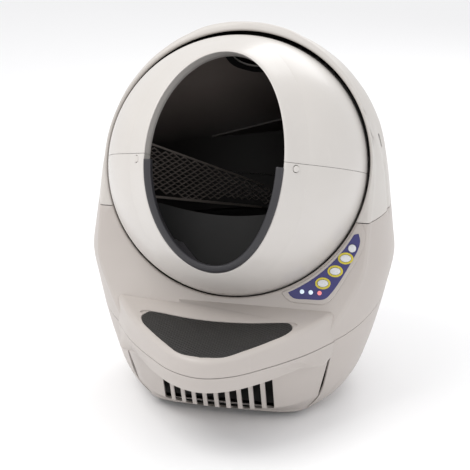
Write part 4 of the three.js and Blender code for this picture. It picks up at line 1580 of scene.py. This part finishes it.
        def form(u: np.ndarray, v: np.ndarray) -> np.ndarray:
            """Lays the lattice out flat, with its bars crossing like a net."""
            a, b = (u - 0.5) * 40 * cell, (v - 0.5) * 40 * cell
            return np.column_stack([a + b, (a - b) * 0.56, np.zeros(len(u))])

        lattice = Bench.skin("sifting_lattice", 40, 40, form)
        keep = []
        for vertex in lattice.data.vertices:
            n, v = vertex.co.x / MM, vertex.co.y / MM - 28.0
            x = start + n * math.sin(turn)
            inside = math.hypot(x, v, n * math.cos(turn)) < reach - 4.0
            base = -67.0 - 5.0 * math.cos(n / 45.0)
            keep.append(inside and n < 168.0 and base < v < 5.0 + self.screen_slope * n)
            vertex.co = Vector(GLOBE.place(x, v, n * math.cos(turn))) * MM
        Bench.only(lattice)
        bpy.ops.object.mode_set(mode="EDIT")
        bpy.ops.mesh.select_all(action="DESELECT")
        bpy.ops.object.mode_set(mode="OBJECT")
        for vertex, inside in zip(lattice.data.vertices, keep):
            vertex.select = not inside
        bpy.ops.object.mode_set(mode="EDIT")
        bpy.ops.mesh.delete(type="VERT")
        bpy.ops.object.mode_set(mode="OBJECT")
        Bench.modify(lattice, "WIREFRAME", thickness=0.0038, use_even_offset=False,
                     use_boundary=True)
        for low, high, slope in ((5.0, 9.0, self.screen_slope), (-76.0, -71.0, 0.0)):
            corners = [(-192.0, low), (170.0, low), (170.0, high), (-192.0, high)]
            outline = np.array([GLOBE.place(
                start + n * math.sin(turn) - self.screen_half_t * math.cos(turn), v + slope * n,
                n * math.cos(turn) + self.screen_half_t * math.sin(turn)) for n, v in corners])
            across = GLOBE.place(math.cos(turn), 0.0, -math.sin(turn)) - np.array(GLOBE.origin)
            bar = Bench.slab("screen_bar", outline, across * 2 * self.screen_half_t, 0.8)
            Bench.join(lattice, bar)
        Bench.dress(lattice, self.palette.grille)
        Bench.hand_over(lattice, "globe", "black_plastic", ["sifting_screen"])

    def cap_round(self, side: Side, radius: float, lift: float) -> tuple[np.ndarray, np.ndarray]:
        """Gives a circle round a screw cap's axis, square to the globe.

        Args:
            side: which cap.
            radius: the circle's radius.
            lift: its height above the globe's surface.

        Returns:
            The circle's points in millimetres, and the direction out of the globe.
        """
        x, v = side.value * (ENTRY_HALF_W + 17), -10.0
        out = np.array([x, v, math.sqrt(GLOBE_R**2 - x * x - v * v)]) / GLOBE_R
        normal = out[0] * np.array([1.0, 0, 0]) + out[1] * GLOBE.up + out[2] * GLOBE.out
        first = np.cross(normal, GLOBE.up)
        first /= np.linalg.norm(first)
        second = np.cross(normal, first)
        middle = np.array(GLOBE.origin) + normal * (GLOBE_R + lift)
        a = turns(40)[:, None]
        return middle + radius * (np.cos(a) * first + np.sin(a) * second), normal

    def caps(self) -> None:
        """Makes the two round caps over the shell screws."""
        for side in Side:
            outline, normal = self.cap_round(side, 6.0, 1.6)
            name = side.name.lower()
            cap = Bench.slab(f"shell_screw_cap_{name}", outline, normal * 4.2, 0.8)
            Bench.dress(cap, self.palette.globe)
            Bench.hand_over(cap, "globe", "globe_plastic", [f"screw_cap_{name}"])


# ------------------------------------------------------------------ control panel


@dataclass(frozen=True)
class Key:
    """One push button: its body's name, place on the face, half sizes and turn."""

    name: str
    x: float
    y: float
    w: float
    h: float
    turn: float = 0.0


@dataclass
class Panel:
    """The keypad on the right of the front face."""

    palette: Palette
    power: Key = Key("power", 240, 123, 7.6, 7.6)
    keys: tuple[Key, ...] = (Key("cycle", 229, 103, 10.5, 7, 0.06),
                             Key("empty", 211, 77, 10.5, 7, 0.06),
                             Key("reset", 189, 52, 10.5, 7, 0.06))
    lamps: tuple[tuple[str, float], ...] = (("ready_light", 150.0), ("timer_light", 167.0),
                                            ("full_light", 184.0))
    lamp_y: float = 33.0
    lamp_r: float = 4.4
    bezel_reach: float = 264.5
    film_reach: float = 269.5
    bezel_edge: Pairs = ((255, 172), (262, 152), (262, 130), (256, 112), (241, 82), (225, 51),
                         (208, 23), (196, 13), (160, 11), (130, 12), (116, 20))
    overlay_edge: Pairs = ((250, 152), (254, 138), (251, 121), (240, 96), (222, 60), (206, 34),
                           (194, 22), (160, 19), (136, 19), (127, 24))

    def outline(self, reach: float, start: float, stop: float, outer: Pairs,
                n: float) -> np.ndarray:
        """Gives a panel outline: an arc round the ring, then its outer edge.

        Args:
            reach: the arc's distance from the ring's middle.
            start: where the arc starts, in radians.
            stop: where it stops.
            outer: the outer edge, across and up the face.
            n: height above the face.

        Returns:
            Points in millimetres.
        """
        axis = (GLOBE_Z - LEDGE_Z) * math.cos(FRONT_LEAN) - LEDGE_Y * math.sin(FRONT_LEAN)
        a = np.linspace(start, stop, 20)
        arc = np.column_stack([reach * np.sin(a), axis - reach * np.cos(a)])
        edge = spline(outer, np.linspace(0, 1, 56))
        flat = np.concatenate([arc, edge])
        return FACE.place(flat[:, 0], flat[:, 1], n)

    @staticmethod
    def oval(key: Key, grow: float, n: float, count: int = 48) -> np.ndarray:
        """Gives a key's oval on the face, grown by a little.

        Args:
            key: the key.
            grow: how far outside its edge.
            n: height above the face.
            count: points round it.

        Returns:
            Points in millimetres.
        """
        a = turns(count)
        x, y = (key.w + grow) * np.cos(a), (key.h + grow) * np.sin(a)
        c, s = math.cos(key.turn), math.sin(key.turn)
        return FACE.place(key.x + x * c - y * s, key.y + x * s + y * c, n)

    def key_cutter(self) -> bpy.types.Object:
        """Makes one cutter with a close round for each key.

        Returns:
            The cutter.
        """
        rounds = [Bench.slab("key_cutter", self.oval(key, 0.5, -16.0), FACE.out * 36)
                  for key in (*self.keys, self.power)]
        return Bench.join(*rounds)

    def build(self) -> None:
        """Makes the bezel, the film, the keys with their rings, and the lamps."""
        outline = self.outline(self.bezel_reach, 0.43, 1.19, self.bezel_edge, -1.0)
        bezel = Bench.slab("keypad_bezel", outline, FACE.out * 3.6, 1.6, 4)
        Bench.dress(bezel, self.palette.base)
        outline = self.outline(self.film_reach, 0.475, 1.11, self.overlay_edge, 2.4)
        film = Bench.slab("keypad_film", outline, FACE.out * 1.0, 0.3)
        Bench.dress(film, self.palette.navy)
        for holed in (bpy.data.objects["base_front_cover"], bezel, film):
            Bench.carve(holed, self.key_cutter())
        Bench.hand_over(bezel, "base", "shell_plastic", ["control_bezel"])
        Bench.hand_over(film, "base", "navy_overlay", ["control_overlay"])
        for key in self.keys:
            ring = Bench.slab(f"{key.name}_key_ring", self.oval(key, 4.4, 3.2), FACE.out * 1.1, 0.5)
            Bench.carve(ring, Bench.slab("ring_cutter", self.oval(key, 0.6, 1.0), FACE.out * 9))
            Bench.dress(ring, self.palette.yellow)
            Bench.hand_over(ring, "base", "yellow_ring", [f"{key.name}_button_ring"])
        for key in (*self.keys, self.power):
            cap = Bench.slab(f"{key.name}_key_top", self.oval(key, 0.0, -3.0), FACE.out * 8.6,
                             1.6, 4)
            Bench.dress(cap, self.palette.key)
            Bench.hand_over(cap, f"{key.name}_button", "white_key", [f"{key.name}_button"])
        for name, x in self.lamps:
            lamp = Key(name, x, self.lamp_y, self.lamp_r, self.lamp_r)
            dome = Bench.slab(f"{name}_window", self.oval(lamp, 0.0, 0.0, 32), FACE.out * 4.2, 0.9)
            alert = name == "full_light"
            Bench.dress(dome, self.palette.alert if alert else self.palette.lamp)
            Bench.hand_over(dome, "base", "red_window" if alert else "light_window", [name])


# ------------------------------------------------------------------ small parts and the set


@dataclass
class Hidden:
    """The parts under the covers, which keep their shapes and get real finishes."""

    palette: Palette

    def build(self) -> None:
        """Dresses the working parts."""
        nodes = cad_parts
        finishes = {
            self.palette.steel: ("drive_motor", "motor_bracket", "roller_axle_left",
                                 "roller_axle_right", "hinge_pin"),
            self.palette.black: ("waste_chute", "roller_bracket_left", "roller_bracket_right",
                                 "power_inlet", "drive_gear"),
            self.palette.liner: ("roller_left", "roller_right"),
            self.palette.board: ("circuit_board",),
            self.palette.base: ("foot_front_left", "foot_front_right", "foot_rear_left",
                                "foot_rear_right"),
        }
        for finish, names in finishes.items():
            for name in names:
                Bench.dress(nodes[name], finish)
        log.info("dressed the working parts")


@dataclass
class Studio:
    """Camera, floor and lights."""

    azimuth: float = 12.296
    elevation: float = 19.898
    distance: float = 2.67786
    target: Triple = (-0.008, 0.0, 0.33274)
    lens: float = 36.0 * 1330.52 / 470.0

    def camera(self) -> None:
        """Places the camera."""
        a, e = math.radians(self.azimuth), math.radians(self.elevation)
        back = Vector((math.sin(a) * math.cos(e), -math.cos(a) * math.cos(e), math.sin(e)))
        data = bpy.data.cameras.new("view")
        data.lens = self.lens
        data.sensor_width = 36.0
        eye = bpy.data.objects.new("view", data)
        eye.location = Vector(self.target) + back * self.distance
        eye.rotation_euler = (-back).to_track_quat("-Z", "Y").to_euler()
        bpy.context.collection.objects.link(eye)
        bpy.context.scene.camera = eye

    def lamp(self, name: str, place: Triple, size: float, power: float, colour: Triple) -> None:
        """Adds one soft light that looks at the object.

        Args:
            name: the light's name.
            place: where it stands, in metres.
            size: its width, in metres.
            power: its power in watts.
            colour: its colour.
        """
        data = bpy.data.lights.new(name, "AREA")
        data.size = size
        data.energy = power
        data.color = colour
        lamp = bpy.data.objects.new(name, data)
        lamp.location = place
        aim = Vector((0.0, 0.0, 0.35)) - Vector(place)
        lamp.rotation_euler = aim.to_track_quat("-Z", "Y").to_euler()
        bpy.context.collection.objects.link(lamp)

    def build(self) -> None:
        """Makes the camera, the floor, the lights and the sky."""
        self.camera()
        bpy.ops.object.select_all(action="DESELECT")
        bpy.ops.mesh.primitive_plane_add(size=60.0, location=(0.0, 0.0, 0.0))
        floor = Bench.named("studio_floor")
        r = Recipe("pale_floor")
        Bench.dress(floor, r.done(Base_Color=(0.93, 0.93, 0.94, 1.0), Roughness=0.9))
        world = bpy.data.worlds.new("studio_sky")
        world.use_nodes = True
        sky = world.node_tree.nodes["Background"]
        sky.inputs["Color"].default_value = (1.0, 1.0, 1.0, 1.0)
        sky.inputs["Strength"].default_value = 0.92
        bpy.context.scene.world = world
        bpy.context.scene.view_settings.view_transform = "Standard"
        self.lamp("key", (-1.2, -1.0, 2.6), 1.5, 30.0, (1.0, 0.99, 0.97))
        self.lamp("fill", (2.4, -1.8, 1.6), 1.6, 9.0, (0.97, 0.98, 1.0))
        self.lamp("rim", (0.6, 2.4, 2.2), 1.6, 20.0, (1.0, 1.0, 1.0))


def main() -> None:
    """Builds the whole model and the set round it."""
    logging.basicConfig(level=logging.INFO, format="%(message)s")
    Studio().build()
    palette = Palette()
    for part in (Body(palette), Step(palette), Drawer(palette), Globe(palette), Panel(palette),
                 Hidden(palette)):
        part.build()
        log.info("built %s", type(part).__name__)


if __name__ == "__main__":
    main()
